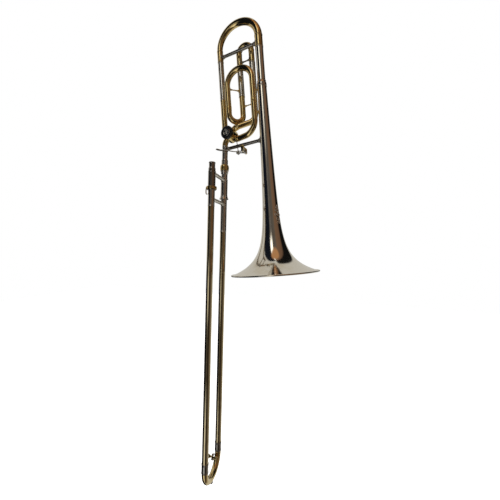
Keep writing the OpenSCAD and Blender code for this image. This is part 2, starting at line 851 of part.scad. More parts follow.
mouthpiece_receiver();
leadpipe();
left_cork_barrel();
right_cork_barrel();
slide_tenon();
upper_slide_brace();
inner_tube_left();
inner_tube_right();
cork_felts();
slide_lock_ring();
outer_tube_left();
outer_tube_right();
grip_sleeves();
lower_slide_brace();
lock_lug();
bow_ferrules();
slide_bow();
bow_bumper();
water_key_saddle();
water_key_lever();
water_key_cork();
water_key_pin();
water_key_spring();
slide_nut();
neck_receiver();
neck_pipe_lower();
neck_pipe_upper();
neck_sleeve();
rotor_casing();
knuckles();
rotor();
rotor_bearing_plate();
rotor_cap();
cap_medallion();
stop_plate();
stop_corks();
stop_arm();
stop_arm_screw();
main_tuning_legs();
main_tuning_bow();
main_tuning_brace();
bell_sleeve();
bell_ferrule();
bell();
rim_wire();
main_brace();
f_lower_branch();
f_upper_crook();
f_lower_crook();
f_return_branch();
f_slide_sleeves();
f_slide_legs();
f_slide_bow();
f_slide_brace();
f_braces();
lever_saddle();
lever_pin();
lever_spring();
thumb_lever();
link_rod();
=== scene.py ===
"""Trombone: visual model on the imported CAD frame. Lengths are in millimetres until a mesh is made."""
import json
import math

import bmesh
import bpy
from mathutils import Matrix, Vector


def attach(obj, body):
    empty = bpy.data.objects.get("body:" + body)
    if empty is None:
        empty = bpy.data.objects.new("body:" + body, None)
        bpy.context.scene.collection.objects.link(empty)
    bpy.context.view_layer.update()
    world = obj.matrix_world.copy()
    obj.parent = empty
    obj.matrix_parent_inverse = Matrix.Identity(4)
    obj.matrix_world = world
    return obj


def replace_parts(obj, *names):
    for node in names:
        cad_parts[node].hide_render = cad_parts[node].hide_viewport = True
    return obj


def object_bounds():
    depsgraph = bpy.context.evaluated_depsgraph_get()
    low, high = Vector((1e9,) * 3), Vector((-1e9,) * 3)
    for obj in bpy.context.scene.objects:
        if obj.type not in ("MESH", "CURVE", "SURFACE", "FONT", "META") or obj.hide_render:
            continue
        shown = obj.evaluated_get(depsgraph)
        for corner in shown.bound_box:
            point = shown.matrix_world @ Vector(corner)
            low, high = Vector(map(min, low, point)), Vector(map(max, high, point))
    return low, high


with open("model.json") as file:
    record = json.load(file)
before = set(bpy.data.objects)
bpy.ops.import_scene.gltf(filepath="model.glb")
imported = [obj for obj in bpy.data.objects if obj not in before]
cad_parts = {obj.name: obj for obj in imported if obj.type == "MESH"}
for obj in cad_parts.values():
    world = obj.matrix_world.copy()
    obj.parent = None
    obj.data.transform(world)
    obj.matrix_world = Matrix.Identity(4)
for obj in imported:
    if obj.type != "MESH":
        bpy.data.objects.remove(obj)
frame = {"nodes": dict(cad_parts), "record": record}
cad_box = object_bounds()

MM = 0.001
TAU = math.tau

# ---- frames, as the CAD lays them out -----------------------------------------------------------


def turn(axis, degrees):
    return Matrix.Rotation(math.radians(degrees), 4, axis)


def move(x, y, z):
    return Matrix.Translation((x, y, z))


SPACING = 80.0
BOW_Z = -743.0
BELL_A = 112.0
RIM_C = -371.5
LEFT = Matrix.Identity(4)
RIGHT = move(0, SPACING, 0)
BELL = move(0, SPACING, 97.4) @ turn("Z", -8.7) @ turn("Y", -5.75)
BELL_AXIS = BELL @ move(BELL_A, 0, 0)
CASING_R = 16.35
ROOT = (CASING_R + 0.6) * math.cos(math.pi / 4)
KNUCKLE_R = 9.0
VALVE_A = ROOT + KNUCKLE_R * (1 - math.cos(math.pi / 4))
VALVE_C = -4.5
VALVE = BELL @ move(VALVE_A, 0, VALVE_C)
PIVOT_A, PIVOT_C = 47, -53
PIVOT = BELL @ move(PIVOT_A, 0, PIVOT_C)
KEY = move(0, SPACING / 2, BOW_Z) @ turn("X", -22) @ move(0, SPACING / 2, 0)
Y_TO_Z = turn("X", -90)
NEAR_B, FAR_B = -10.0, 17.2
UPPER_BRACE_Z, LOWER_BRACE_Z = -24, -87
MAIN_BRACE_C, TUNING_BRACE_C, F_BRACE_C = -39, 209, 188
SLIDE_BRACE_R, SLIDE_FLANGE_R = 4.6, 6.1
BARREL_R, SLEEVE_R = 9.2, 8.15
LEFT_SLEEVE_LOW, RIGHT_SLEEVE_LOW = -105, -161
F_R = 7.25
F_JOINT_C, F_SLEEVE_LOW, F_BOW_C = 60, 95, 212.5
LINK_B = 24
A_NEAR_L, A_NEAR_R, A_FAR_L, A_FAR_R = 20.5, 91.0, 47.7, 83.2


def facing(origin, z, x=None):
    """A frame at origin with its z along z, and its x as near as can be to x."""
    z = Vector(z).normalized()
    if x is None:
        x = Vector((0, 1, 0)).cross(z) if abs(z.y) < 0.9 else (1, 0, 0)
    x = Vector(x)
    x = (x - z * x.dot(z)).normalized()
    y = z.cross(x)
    m = Matrix((x, y, z)).transposed().to_4x4()
    m.translation = Vector(origin)
    return m


# ---- mesh makers --------------------------------------------------------------------------------


def tube_faces(rings, segs):
    """Faces of a capped tube whose points are laid out ring after ring."""
    faces = [[i * segs + k, i * segs + (k + 1) % segs, (i + 1) * segs + (k + 1) % segs, (i + 1) * segs + k]
             for i in range(rings - 1) for k in range(segs)]
    return faces + [list(range(segs))[::-1], [(rings - 1) * segs + k for k in range(segs)]]


def finish_mesh(name, verts, faces, body, material, sharp=40):
    mesh = bpy.data.meshes.new(name)
    mesh.from_pydata([tuple(Vector(v) * MM) for v in verts], [], faces)
    bm = bmesh.new()
    bm.from_mesh(mesh)
    bmesh.ops.remove_doubles(bm, verts=bm.verts, dist=1e-7)
    bmesh.ops.delete(bm, geom=[v for v in bm.verts if not v.link_faces], context="VERTS")
    bmesh.ops.recalc_face_normals(bm, faces=bm.faces)
    bm.to_mesh(mesh)
    bm.free()
    mesh.validate()
    mesh.update()
    mesh.polygons.foreach_set("use_smooth", [True] * len(mesh.polygons))
    mesh.set_sharp_from_angle(angle=math.radians(sharp))
    obj = bpy.data.objects.new(name, mesh)
    bpy.context.scene.collection.objects.link(obj)
    mesh.materials.append(material)
    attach(obj, body)
    return obj


class Shape:
    """Collects several shells into one piece."""

    def __init__(self):
        self.verts, self.faces = [], []

    def add(self, verts, faces, m=LEFT):
        base = len(self.verts)
        self.verts += [m @ Vector(v) for v in verts]
        self.faces += [[base + i for i in f] for f in faces]
        return self

    def make(self, name, body, kind, sharp=40):
        slot, material = KINDS[kind]
        return finish_mesh(name, self.verts, self.faces, body, material, sharp)

    # -- shells of revolution about z

    def lathe(self, profile, m=LEFT, segs=96, closed=True, ripple=None):
        n = len(profile)
        verts, faces = [], []
        for i, (r, z) in enumerate(profile):
            for k in range(segs):
                t = TAU * k / segs
                rr, zz = (r, z) if ripple is None else ripple(r, z, t)
                verts.append((rr * math.cos(t), rr * math.sin(t), zz))
        for i in range(n if closed else n - 1):
            j = (i + 1) % n
            for k in range(segs):
                q = (k + 1) % segs
                a, b, c, d = i * segs + k, i * segs + q, j * segs + q, j * segs + k
                low, high = profile[i][0] < 1e-6, profile[j][0] < 1e-6
                if low and high:
                    continue
                if low:
                    faces.append([i * segs, c, d])
                elif high:
                    faces.append([a, b, j * segs])
                else:
                    faces.append([a, b, c, d])
        return self.add(verts, faces, m)

    def ring(self, profile, r, m=LEFT, segs=96, ripple=None):
        """A closed profile with its corners rounded by r, turned about z."""
        return self.lathe(rounded(profile, r), m, segs, True, ripple)

    def plug(self, profile, r, m=LEFT, segs=96, ripple=None, steps=3):
        """The same for an open profile that starts and ends on the axis."""
        return self.lathe(rounded(profile, r, steps, False), m, segs, False, ripple)

    # -- a pipe along a path of points, with a radius for each

    def sweep(self, path, radii, m=LEFT, segs=48, flat=1.0):
        pts = [Vector(p) for p in path]
        if not hasattr(radii, "__len__"):
            radii = [radii] * len(pts)
        tangents = []
        for i in range(len(pts)):
            a, b = pts[max(i - 1, 0)], pts[min(i + 1, len(pts) - 1)]
            tangents.append((b - a).normalized())
        t = tangents[0]
        side = Vector((0, 0, 1)) if abs(t.z) < 0.9 else Vector((1, 0, 0))
        u = (side - t * side.dot(t)).normalized()
        verts = []
        for i, (p, t) in enumerate(zip(pts, tangents)):
            u = (u - t * u.dot(t)).normalized()
            v = t.cross(u)
            for k in range(segs):
                w = TAU * k / segs
                verts.append(p + (u * math.cos(w) + v * math.sin(w) * flat) * radii[i])
        return self.add(verts, tube_faces(len(pts), segs), m)

    # -- a strap through stations of (point, half width, half thickness), width along `across`

    def strap(self, stations, across, m=LEFT, steps=6, segs=20):
        pts = [Vector(s[0]) for s in stations]
        n = len(pts)

        def spline(get, i, f):
            p = [get(max(min(i + d, n - 1), 0)) for d in (-1, 0, 1, 2)]
            return 0.5 * ((2 * p[1]) + (p[2] - p[0]) * f + (2 * p[0] - 5 * p[1] + 4 * p[2] - p[3]) * f * f
                          + (3 * p[1] - p[0] - 3 * p[2] + p[3]) * f ** 3)

        samples = [(i, s / steps) for i in range(n - 1) for s in range(steps)] + [(n - 2, 1.0)]
        path = [(spline(lambda j: pts[j], i, f), spline(lambda j: stations[j][1], i, f),
                 spline(lambda j: stations[j][2], i, f)) for i, f in samples]
        verts = []
        for i, (p, w, h) in enumerate(path):
            a, b = path[max(i - 1, 0)][0], path[min(i + 1, len(path) - 1)][0]
            t = (b - a).normalized()
            y = (Vector(across) - t * Vector(across).dot(t)).normalized()
            z = t.cross(y)
            for k in range(segs):
                q = TAU * k / segs
                c, s = math.cos(q), math.sin(q)
                c = math.copysign(abs(c) ** 0.5, c)
                s = math.copysign(abs(s) ** 0.5, s)
                verts.append(p + y * (w * c) + z * (h * s))
        return self.add(verts, tube_faces(len(path), segs), m)

    # -- a box with rounded edges

    def block(self, low, high, m=LEFT, r=0.35):
        lo, hi = Vector(low), Vector(high)
        size = hi - lo
        r = min(r, min(size) * 0.45)
        n = 3
        xs = lambda a, b: [a + r * (1 - math.cos(math.pi / 2 * i / n)) for i in range(n + 1)] + [
            b - r * (1 - math.cos(math.pi / 2 * (n - i) / n)) for i in range(n + 1)]
        grid = [xs(lo[i], hi[i]) for i in range(3)]
        verts, faces, index = [], [], {}

        def vert(p):
            key = tuple(round(c, 5) for c in p)
            if key not in index:
                core = Vector([min(max(p[i], lo[i] + r), hi[i] - r) for i in range(3)])
                d = Vector(p) - core
                verts.append(core + d.normalized() * r if d.length > 1e-9 else Vector(p))
                index[key] = len(verts) - 1
            return index[key]

        for axis in range(3):
            u, v = (axis + 1) % 3, (axis + 2) % 3
            for end in (0, 1):
                w = (lo, hi)[end][axis]
                gu, gv = grid[u], grid[v]
                for i in range(len(gu) - 1):
                    for j in range(len(gv) - 1):
                        quad = []
                        for a, b in ((i, j), (i + 1, j), (i + 1, j + 1), (i, j + 1)):
                            p = [0, 0, 0]
                            p[axis], p[u], p[v] = w, gu[a], gv[b]
                            quad.append(vert(p))
                        if len(set(quad)) > 2:
                            faces.append(quad if end else quad[::-1])
        return self.add(verts, faces, m)

    # -- a saddle: an oval patch of metal that hugs a tube's wall, facing +x of its frame

    def saddle(self, r, m, half_angle=62, half_height=7.5, thick=0.7):
        nu, nv = 18, 12
        verts, faces = [], []
        for side in (0, 1):
            for i in range(nu + 1):
                for j in range(nv + 1):
                    a, b = 2 * i / nu - 1, 2 * j / nv - 1
                    x = a * math.sqrt(max(0.0, 1 - b * b / 2)) * math.radians(half_angle)
                    z = b * math.sqrt(max(0.0, 1 - a * a / 2)) * half_height
                    edge = min(1.0, (1 - max(abs(a), abs(b))) * 5)
                    rr = r + (thick * (0.25 + 0.75 * math.sqrt(edge)) if side else -0.02)
                    verts.append((rr * math.cos(x), rr * math.sin(x), z))
        size = (nu + 1) * (nv + 1)
        at = lambda s, i, j: s * size + i * (nv + 1) + j
        for i in range(nu):
            for j in range(nv):
                faces.append([at(1, i, j), at(1, i + 1, j), at(1, i + 1, j + 1), at(1, i, j + 1)])
                faces.append([at(0, i, j), at(0, i, j + 1), at(0, i + 1, j + 1), at(0, i + 1, j)])
        ring = ([(i, 0) for i in range(nu)] + [(nu, j) for j in range(nv)]
                + [(i, nv) for i in range(nu, 0, -1)] + [(0, j) for j in range(nv, 0, -1)])
        for k in range(len(ring)):
            p, q = ring[k], ring[(k + 1) % len(ring)]
            faces.append([at(0, *p), at(0, *q), at(1, *q), at(1, *p)])
        return self.add(verts, faces, m)

    # -- a spring: wire of radius w wound on radius r

    def spring(self, r, w, z0, z1, coils, m):
        steps = int(coils * 28)
        path = [(r * math.cos(TAU * coils * i / steps), r * math.sin(TAU * coils * i / steps),
                 z0 + (z1 - z0) * i / steps) for i in range(steps + 1)]
        return self.sweep(path, w, m, segs=12)


def stand_in(shape, cad, body, kind):
    """The piece that is shown in place of one CAD node, and is named after it."""
    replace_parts(shape.make(f"{cad}_detail", body, kind), cad)


def rounded(profile, r, steps=3, closed=True):
    """The profile with its corners rounded, and a support ring close to each one."""
    out, n = [], len(profile)
    for i in range(n):
        p = Vector(profile[i])
        if not closed and i in (0, n - 1):
            out.append(tuple(p))
            continue
        a, b = Vector(profile[i - 1]) - p, Vector(profile[(i + 1) % n]) - p
        la, lb = a.length, b.length
        if la < 1e-6 or lb < 1e-6:
            continue
        a, b = a / la, b / lb
        bend = math.pi - a.angle(b)
        if bend < math.radians(12):
            out.append(tuple(p))
            continue
        cut = min(r, la * 0.45, lb * 0.45)
        start, end = p + a * cut, p + b * cut
        if la > cut * 6:
            out.append(tuple(p + a * cut * 1.8))
        for s in range(steps + 1):
            f = s / steps
            out.append(tuple(start * (1 - f) ** 2 + p * 2 * f * (1 - f) + end * f * f))
        if lb > cut * 6:
            out.append(tuple(p + b * cut * 1.8))
    return [(max(x, 0.0), z) for x, z in out]


def bead(r, z, h, out):
    """Profile points of a half-round bead of height h that stands out of radius r, going up."""
    steps = 6
    return [(r + out * math.sin(math.pi * i / steps), z + h * i / steps) for i in range(steps + 1)]


def knurled(low, high, count, depth, r_min):
    """Ripple for a lathe: flutes of a depth between two heights, on what stands beyond r_min."""
    def ripple(r, z, t):
        fluted = low < z < high and r > r_min
        return (r - depth * (0.5 + 0.5 * math.cos(count * t)) if fluted else r, z)
    return ripple


def fillet(points, bends, step=4.0):
    """Corner points of a pipe run turned into a smooth path."""
    pts = [Vector(p) for p in points]
    path = [pts[0]]
    for i in range(1, len(pts) - 1):
        d1, d2 = (pts[i] - pts[i - 1]).normalized(), (pts[i + 1] - pts[i]).normalized()
        angle = d1.angle(d2)
        r = bends[i - 1]
        cut = r * math.tan(angle / 2)
        inward = (d2 - d1 * d1.dot(d2)).normalized()
        start = pts[i] - d1 * cut
        centre = start + inward * r
        n = max(3, int(math.degrees(angle) / step))
        path.append(start - d1 * 0.4)
        for k in range(n + 1):
            t = angle * k / n
            path.append(centre - inward * r * math.cos(t) + d1 * r * math.sin(t))
        path.append(pts[i] + d2 * (cut + 0.4))
    return path + [pts[-1]]


def u_path(bend_r, steps=36, up=1):
    """Half circle in the x-z plane from -x to +x, bulging along up * z, centred on the origin."""
    angles = [math.pi * i / steps for i in range(steps + 1)]
    return [Vector((-bend_r * math.cos(t), 0, up * bend_r * math.sin(t))) for t in angles]


def polar(r, degrees):
    t = math.radians(degrees)
    return Vector((r * math.cos(t), 0, r * math.sin(t)))


# ---- materials ----------------------------------------------------------------------------------


def new_material(name):
    mat = bpy.data.materials.new(name)
    mat.use_nodes = True
    tree = mat.node_tree
    tree.nodes.clear()
    out = tree.nodes.new("ShaderNodeOutputMaterial")
    shader = tree.nodes.new("ShaderNodeBsdfPrincipled")
    tree.links.new(shader.outputs["BSDF"], out.inputs["Surface"])
    return mat, tree, shader


def node(tree, kind, **settings):
    n = tree.nodes.new(kind)
    for key, value in settings.items():
        if key in n.inputs:
            n.inputs[key].default_value = value
        else:
            setattr(n, key, value)
    return n


def noise(tree, scale, detail=4.0, rough=0.55, stretch=None):
    coords = node(tree, "ShaderNodeTexCoord")
    source = coords.outputs["Object"]
    if stretch is not None:
        mapping = node(tree, "ShaderNodeMapping")
        mapping.inputs["Scale"].default_value = stretch
        tree.links.new(source, mapping.inputs["Vector"])
        source = mapping.outputs["Vector"]
    n = node(tree, "ShaderNodeTexNoise", Scale=scale, Detail=detail, Roughness=rough)
    tree.links.new(source, n.inputs["Vector"])
    return n.outputs["Fac"]


def ramp(tree, fac, stops):
    r = node(tree, "ShaderNodeValToRGB")
    while len(r.color_ramp.elements) < len(stops):
        r.color_ramp.elements.new(0.5)
    for element, (place, colour) in zip(r.color_ramp.elements, stops):
        element.position = place
        element.color = (*colour, 1) if len(colour) == 3 else colour
    tree.links.new(fac, r.inputs["Fac"])
    return r.outputs["Color"]


def map_range(tree, value, start, end, low=0.0, high=1.0, kind="LINEAR"):
    settings = {"From Min": start, "From Max": end, "To Min": low, "To Max": high}
    m = node(tree, "ShaderNodeMapRange", interpolation_type=kind, **settings)
    tree.links.new(value, m.inputs["Value"])
    return m.outputs["Result"]


def spread(tree, fac, low, high):
    """The middle of a noise, where nearly all of it lies, taken to low..high."""
    return map_range(tree, fac, 0.3, 0.7, low, high)


def bump(tree, shader, fac, strength, distance):
    b = node(tree, "ShaderNodeBump", Strength=strength, Distance=distance)
    tree.links.new(fac, b.inputs["Height"])
    tree.links.new(b.outputs["Normal"], shader.inputs["Normal"])


def metal(name, colour, dull, low=0.09, high=0.20, coat=0.5, hairlines=0.06, patches=45.0):
    """Polished metal: slow drifts of tone, tarnish in patches, smears in the gloss and fine hairlines."""
    mat, tree, shader = new_material(name)
    shader.inputs["Metallic"].default_value = 1.0
    shader.inputs["Coat Weight"].default_value = coat
    shader.inputs["Coat Roughness"].default_value = 0.06
    drift = noise(tree, patches, 5.0, 0.6)
    tones = [(0.25, dull), (0.48, colour), (0.80, colour)]
    tree.links.new(ramp(tree, drift, tones), shader.inputs["Base Color"])
    smear = noise(tree, patches * 4, 4.0, 0.65, (1.0, 1.0, 0.35))
    tree.links.new(spread(tree, smear, low, high), shader.inputs["Roughness"])
    bump(tree, shader, noise(tree, 900.0, 2.0, 0.6, (1.0, 1.0, 0.08)), hairlines, 0.0002)
    return mat


def black_lacquer():
    mat, tree, shader = new_material("black_lacquer")
    drift = noise(tree, 300.0)
    tree.links.new(ramp(tree, drift, [(0.3, (0.002, 0.002, 0.002)), (0.7, (0.007, 0.007, 0.008))]),
                   shader.inputs["Base Color"])
    tree.links.new(spread(tree, noise(tree, 500.0), 0.22, 0.38), shader.inputs["Roughness"])
    bump(tree, shader, noise(tree, 2500.0), 0.12, 0.0001)
    shader.inputs["Specular IOR Level"].default_value = 0.3
    shader.inputs["Coat Weight"].default_value = 0.15
    return mat


def rubber():
    mat, tree, shader = new_material("rubber")
    drift = noise(tree, 400.0)
    tree.links.new(ramp(tree, drift, [(0.3, (0.010, 0.010, 0.010)), (0.7, (0.026, 0.025, 0.024))]),
                   shader.inputs["Base Color"])
    tree.links.new(spread(tree, noise(tree, 700.0), 0.5, 0.75), shader.inputs["Roughness"])
    bump(tree, shader, noise(tree, 1800.0, 6.0), 0.3, 0.0002)
    return mat


def cork():
    mat, tree, shader = new_material("cork")
    grain = noise(tree, 1400.0, 8.0, 0.7)
    browns = [(0.32, (0.10, 0.035, 0.012)), (0.5, (0.42, 0.19, 0.06)), (0.7, (0.62, 0.34, 0.12))]
    tree.links.new(ramp(tree, grain, browns), shader.inputs["Base Color"])
    shader.inputs["Roughness"].default_value = 0.75
    bump(tree, shader, grain, 0.5, 0.0004)
    return mat


def felt():
    mat, tree, shader = new_material("felt")
    fibre = noise(tree, 3000.0, 8.0, 0.8)
    tree.links.new(ramp(tree, fibre, [(0.3, (0.10, 0.012, 0.012)), (0.7, (0.30, 0.05, 0.05))]),
                   shader.inputs["Base Color"])
    shader.inputs["Roughness"].default_value = 0.95
    shader.inputs["Sheen Weight"].default_value = 0.4
    bump(tree, shader, fibre, 0.6, 0.0005)
    return mat


KINDS = {
    "nickel": ("nickel_silver", metal("nickel", (0.66, 0.63, 0.58), (0.46, 0.43, 0.37), 0.10, 0.22)),
    # barrel: the same nickel silver as nickel, its colour darkened to about half as painted shade for the
    # dark reflections on the receiver, left cork barrel, ferrules, braces and link rod
    "barrel": ("nickel_silver",
               metal("nickel_painted_shade", (0.36, 0.34, 0.31), (0.21, 0.19, 0.17), 0.12, 0.26)),
    "satin": ("nickel_silver",
              metal("satin_nickel", (0.78, 0.74, 0.66), (0.56, 0.52, 0.45), 0.34, 0.48, 0.2)),
    "bell": ("bell_metal",
             metal("bell_metal", (0.80, 0.76, 0.68), (0.70, 0.62, 0.48), 0.07, 0.15, 0.6, 0.04, 22.0)),
    "gold": ("gold_brass", metal("gold_brass", (0.70, 0.53, 0.24), (0.46, 0.32, 0.12), 0.09, 0.20)),
    "slide": ("slide_brass",
              metal("slide_brass", (0.60, 0.50, 0.31), (0.42, 0.33, 0.17), 0.07, 0.15, 0.4)),
    "bright": ("bright_brass", metal("bright_brass", (0.76, 0.56, 0.22), (0.50, 0.34, 0.11), 0.10, 0.22)),
    "chrome": ("plated_tube",
               metal("chrome_tube", (0.78, 0.78, 0.78), (0.66, 0.66, 0.64), 0.05, 0.12, 0.0)),
    "rotor": ("rotor_metal",
              metal("rotor_metal", (0.74, 0.62, 0.36), (0.52, 0.42, 0.22), 0.22, 0.36, 0.0)),
    "steel": ("spring_steel",
              metal("spring_steel", (0.60, 0.58, 0.54), (0.40, 0.38, 0.34), 0.16, 0.30, 0.0)),
    "black": ("black_cap", black_lacquer()),
    "rubber": ("bumper_rubber", rubber()),
    "cork": ("cork", cork()),
    "felt": ("felt", felt()),
}

# Every CAD node gets its detailed material, whether or not a piece replaces it below.
SLOT_KIND = {slot: kind for kind, (slot, _) in reversed(list(KINDS.items()))}
for entry in frame["record"]["subparts"]:
    shown = frame["nodes"][entry["node"]]
    shown.data.materials.clear()
    shown.data.materials.append(KINDS[SLOT_KIND[entry["material_slot"]]][1])

# ---- hand slide, inner half ---------------------------------------------------------------------

ROOT_BODY, SLIDE = "bell_section", "hand_slide"

receiver = Shape().ring([(6.45, -0.05), (7.95, -0.05), (7.95, -2.4), (7.4, -3.2), (7.4, -12.5),
    (7.9, -13.2), (8.3, -14.6), (8.55, -16), (8.55, -21.95), (5.95, -21.95), (6.45, -5)], 0.3)
stand_in(receiver, "mouthpiece_receiver", ROOT_BODY, "barrel")


def cork_barrel(cad, bottom, m, kind, skirt_r):
    """A cup round the felt, with a skirt that flares to skirt_r at its mouth."""
    skirt = bottom + 11
    wall_r = 9.0
    outer = ([(7.3, -22.05), (BARREL_R, -22.05)] + bead(wall_r, -24.6, 2.0, 0.2)[::-1]
             + [(wall_r, skirt + 1)])
    flare = [(wall_r + (skirt_r - wall_r) * (i / 8) ** 1.7, skirt + 1 - (skirt + 1 - bottom) * i / 8)
             for i in range(1, 9)]
    inner = [(skirt_r - 0.7, bottom), (8.6, skirt), (8.5, skirt + 2), (8.5, -26), (7.3, -26)]
    barrel = Shape().ring(outer + flare + inner, 0.25, m)
    stand_in(barrel, cad, ROOT_BODY, kind)


cork_barrel("left_cork_barrel", -66, LEFT, "barrel", 10.9)
cork_barrel("right_cork_barrel", -74, RIGHT, "nickel", 12.3)

tenon = Shape().ring([(6.95, -22), (8.3, -22), (8.3, -8), (8.9, -6.5), (9.9, -5)]
    + [(9.9 - (0.35 if i % 2 else 0), -4 + i * 0.55) for i in range(20)]
    + [(9.6, 7.0), (7.38, 7.0), (7.2, 27), (6.95, 27)], 0.12, RIGHT)
stand_in(tenon, "slide_tenon", ROOT_BODY, "nickel")


def brace_profile(length, r, flange_r):
    """Round bar with a turned collar at each end."""
    def end(z0, d):
        return [(flange_r - 0.5, z0), (flange_r, z0 + d * 0.8), (flange_r, z0 + d * 2.2),
                (flange_r - 0.6, z0 + d * 3.0), (r + 0.5, z0 + d * 3.6), (r + 0.7, z0 + d * 4.6),
                (r + 0.2, z0 + d * 5.4), (r - 0.25, z0 + d * 7.0)]
    return [(0, 0)] + end(0, 1) + [(r, length / 2)] + end(length, -1)[::-1] + [(0, length)]


def brace(name, cad, p, q, r, flange_r, tubes, body, kind, m, saddle_h):
    """A turned bar between the axes of two tubes, with a saddle on each; tubes are their radii."""
    p, q = Vector(p), Vector(q)
    d = (q - p).normalized()
    bar = Shape()
    start, finish = p + d * (tubes[0] - 0.4), q - d * (tubes[1] - 0.4)
    bar.plug(brace_profile((finish - start).length, r, flange_r), 0.3, m @ facing(start, d), 40)
    for centre, tube_r, way in ((p, tubes[0], d), (q, tubes[1], -d)):
        bar.saddle(tube_r, m @ facing(centre, (0, 0, 1), way), half_height=saddle_h)
    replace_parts(bar.make(name, body, kind), cad)


brace("upper_brace_detail", "upper_slide_brace", (0, 0, UPPER_BRACE_Z), (0, SPACING, UPPER_BRACE_Z),
      SLIDE_BRACE_R, SLIDE_FLANGE_R, (BARREL_R, BARREL_R), ROOT_BODY, "satin", LEFT, 6.4)
brace("lower_brace_detail", "lower_slide_brace", (0, 0, LOWER_BRACE_Z), (0, SPACING, LOWER_BRACE_Z),
      SLIDE_BRACE_R, SLIDE_FLANGE_R, (SLEEVE_R, SLEEVE_R), SLIDE, "satin", LEFT, 6.0)

lock = Shape().ring([(11.2, -64), (12.4, -64), (12.4, -58), (11.2, -58)], 0.4)
HOOK_AT = 205
hook = turn("Z", HOOK_AT)
lock.strap([((12.2, 0, -59.4), 3, 0.85), ((12.7, 0, -64), 3, 1.25), ((12.9, 0, -71), 3, 1.35),
            ((12.4, 0, -75.2), 2.8, 1.15), ((9.9, 0, -77.1), 2.4, 0.75)], (0, 1, 0), hook)
lock.plug([(0, 0), (1.9, 0), (2.1, 0.5), (1.5, 0.9), (0, 1.0)], 0.2,
          hook @ facing((12.2, 0, -61), (1, 0, 0)), 32)
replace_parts(lock.make("lock_ring_detail", "lock_ring", "bright"), "slide_lock_ring")

# ---- hand slide, outer half ---------------------------------------------------------------------

TUBE_R = 7.85
for m, side in ((LEFT, "left"), (RIGHT, "right")):
    tube = Shape().ring([(7.45, -735), (TUBE_R, -735), (TUBE_R, -30.3), (7.45, -30.3)], 0.1, m)
    stand_in(tube, f"outer_tube_{side}", SLIDE, "slide")
sleeves = Shape()
for m, low in ((LEFT, LEFT_SLEEVE_LOW), (RIGHT, RIGHT_SLEEVE_LOW)):
    sleeves.ring([(7.87, low)] + bead(SLEEVE_R, low, 2.0, 0.4) + [(SLEEVE_R, low + 2.8)]
        + bead(8.1, low + 3.2, 1.1, 0.2)
        + [(SLEEVE_R, low + 5), (SLEEVE_R, -30.4), (7.87, -30.4)], 0.12, m)
stand_in(sleeves, "grip_sleeves", SLIDE, "nickel")

ferrules = Shape()
for m in (LEFT, RIGHT):
    z = BOW_Z + 1
    ferrules.ring([(7.87, z)] + bead(8.3, z, 2.6, 0.65) + bead(8.3, z + 3.2, 1.4, 0.35)
        + [(8.35, z + 6), (8.35, z + 18)] + bead(8.3, z + 19.2, 1.4, 0.35)
        + bead(8.3, z + 21.2, 2.6, 0.65) + [(7.87, z + 24)], 0.12, m)
stand_in(ferrules, "bow_ferrules", SLIDE, "barrel")

DOWN_U = move(0, SPACING / 2, BOW_Z) @ turn("Z", 90)
bow = Shape()
arc = u_path(SPACING / 2, 60, -1)
bow.sweep([arc[0] + Vector((0, 0, 8))] + arc + [arc[-1] + Vector((0, 0, 8))], TUBE_R, DOWN_U, 72)
guard = [p for p in arc if p.z < -SPACING / 2 * 0.93]
bow.sweep(guard, [TUBE_R + 0.02] + [TUBE_R] * (len(guard) - 2) + [TUBE_R + 0.02], DOWN_U, 72)


def fluted_edge(r, z, t):
    return (r * (1 + 0.02 * math.cos(24 * t)) if r > 4 else r, z)


guard_plate = [(0, -792.4), (4.6, -792.4), (4.95, -791.6), (4.95, -790.6), (4.2, -789.6), (0, -789.4)]
bow.plug(guard_plate, 0.3, move(0, SPACING / 2, 0), 64, ripple=fluted_edge)
bow.ring([(2.0, -11.5), (2.6, -11.5), (2.9, -9.6), (3.3, -8.2), (4.4, -7.4), (2.0, -7.2)], 0.15,
         KEY @ Y_TO_Z, 48)
stand_in(bow, "slide_bow", SLIDE, "gold")
dome = [(4.4 * math.cos(math.radians(t)), -795.9 - 4.3 * math.sin(math.radians(t)))
    for t in range(0, 91, 9)]
bumper = Shape().plug([(0, -792.4), (4.3, -792.4), (4.4, -794)] + dome, 0.2, move(0, SPACING / 2, 0), 64)
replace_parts(bumper.make("bumper_detail", SLIDE, "rubber"), "bow_bumper")

# Water key
KP = KEY @ move(-9.5, -11, 0)
key = Shape()
key.ring([(1.15, -4.6), (2.4, -4.6), (2.4, -3.4), (2.05, -3.0), (2.05, 3.0), (2.4, 3.4), (2.4, 4.6),
    (1.15, 4.6)], 0.2, KP, 48)
key.strap([((-0.4, -2.2, 0), 2.3, 0.8), ((2.0, -3.7, 0), 2.5, 0.8), ((6, -3.95, 0), 2.9, 0.75),
    ((9.5, -3.95, 0), 3.9, 0.72), ((12.6, -3.95, 0), 3.0, 0.68), ((13.4, -3.95, 0), 1.2, 0.5)],
    (0, 0, 1), KP)
key.strap([((-0.8, 0.3, 0), 2.3, 0.8), ((-3.5, 0.1, 0), 2.2, 0.75), ((-6.5, 0.0, 0), 3.4, 0.75),
    ((-10.5, 0.1, 0), 5.1, 0.75), ((-14, 0.5, 0), 4.2, 0.7), ((-15.9, 0.75, 0), 1.6, 0.5)], (0, 0, 1), KP)
key.plug([(0, 0), (3.9, 0), (4.1, 0.6), (3.2, 1.3), (1.2, 1.55), (0, 1.6)], 0.25,
         KEY @ facing((0, -14.05, 0), (0, -1, 0)), 48)
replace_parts(key.make("water_key_detail", "water_key", "gold"), "water_key_lever")
pad = Shape().plug([(0, -11.8), (3.3, -11.8), (3.65, -12.3), (3.65, -13.9), (0, -13.95)], 0.25,
                   KEY @ Y_TO_Z, 40)
stand_in(pad, "water_key_cork", "water_key", "cork")
coil = Shape()
for s in (-1, 1):
    coil.spring(2.85, 0.33, s * 3.05, s * 4.55, 2.6, KP)
stand_in(coil, "water_key_spring", SLIDE, "steel")
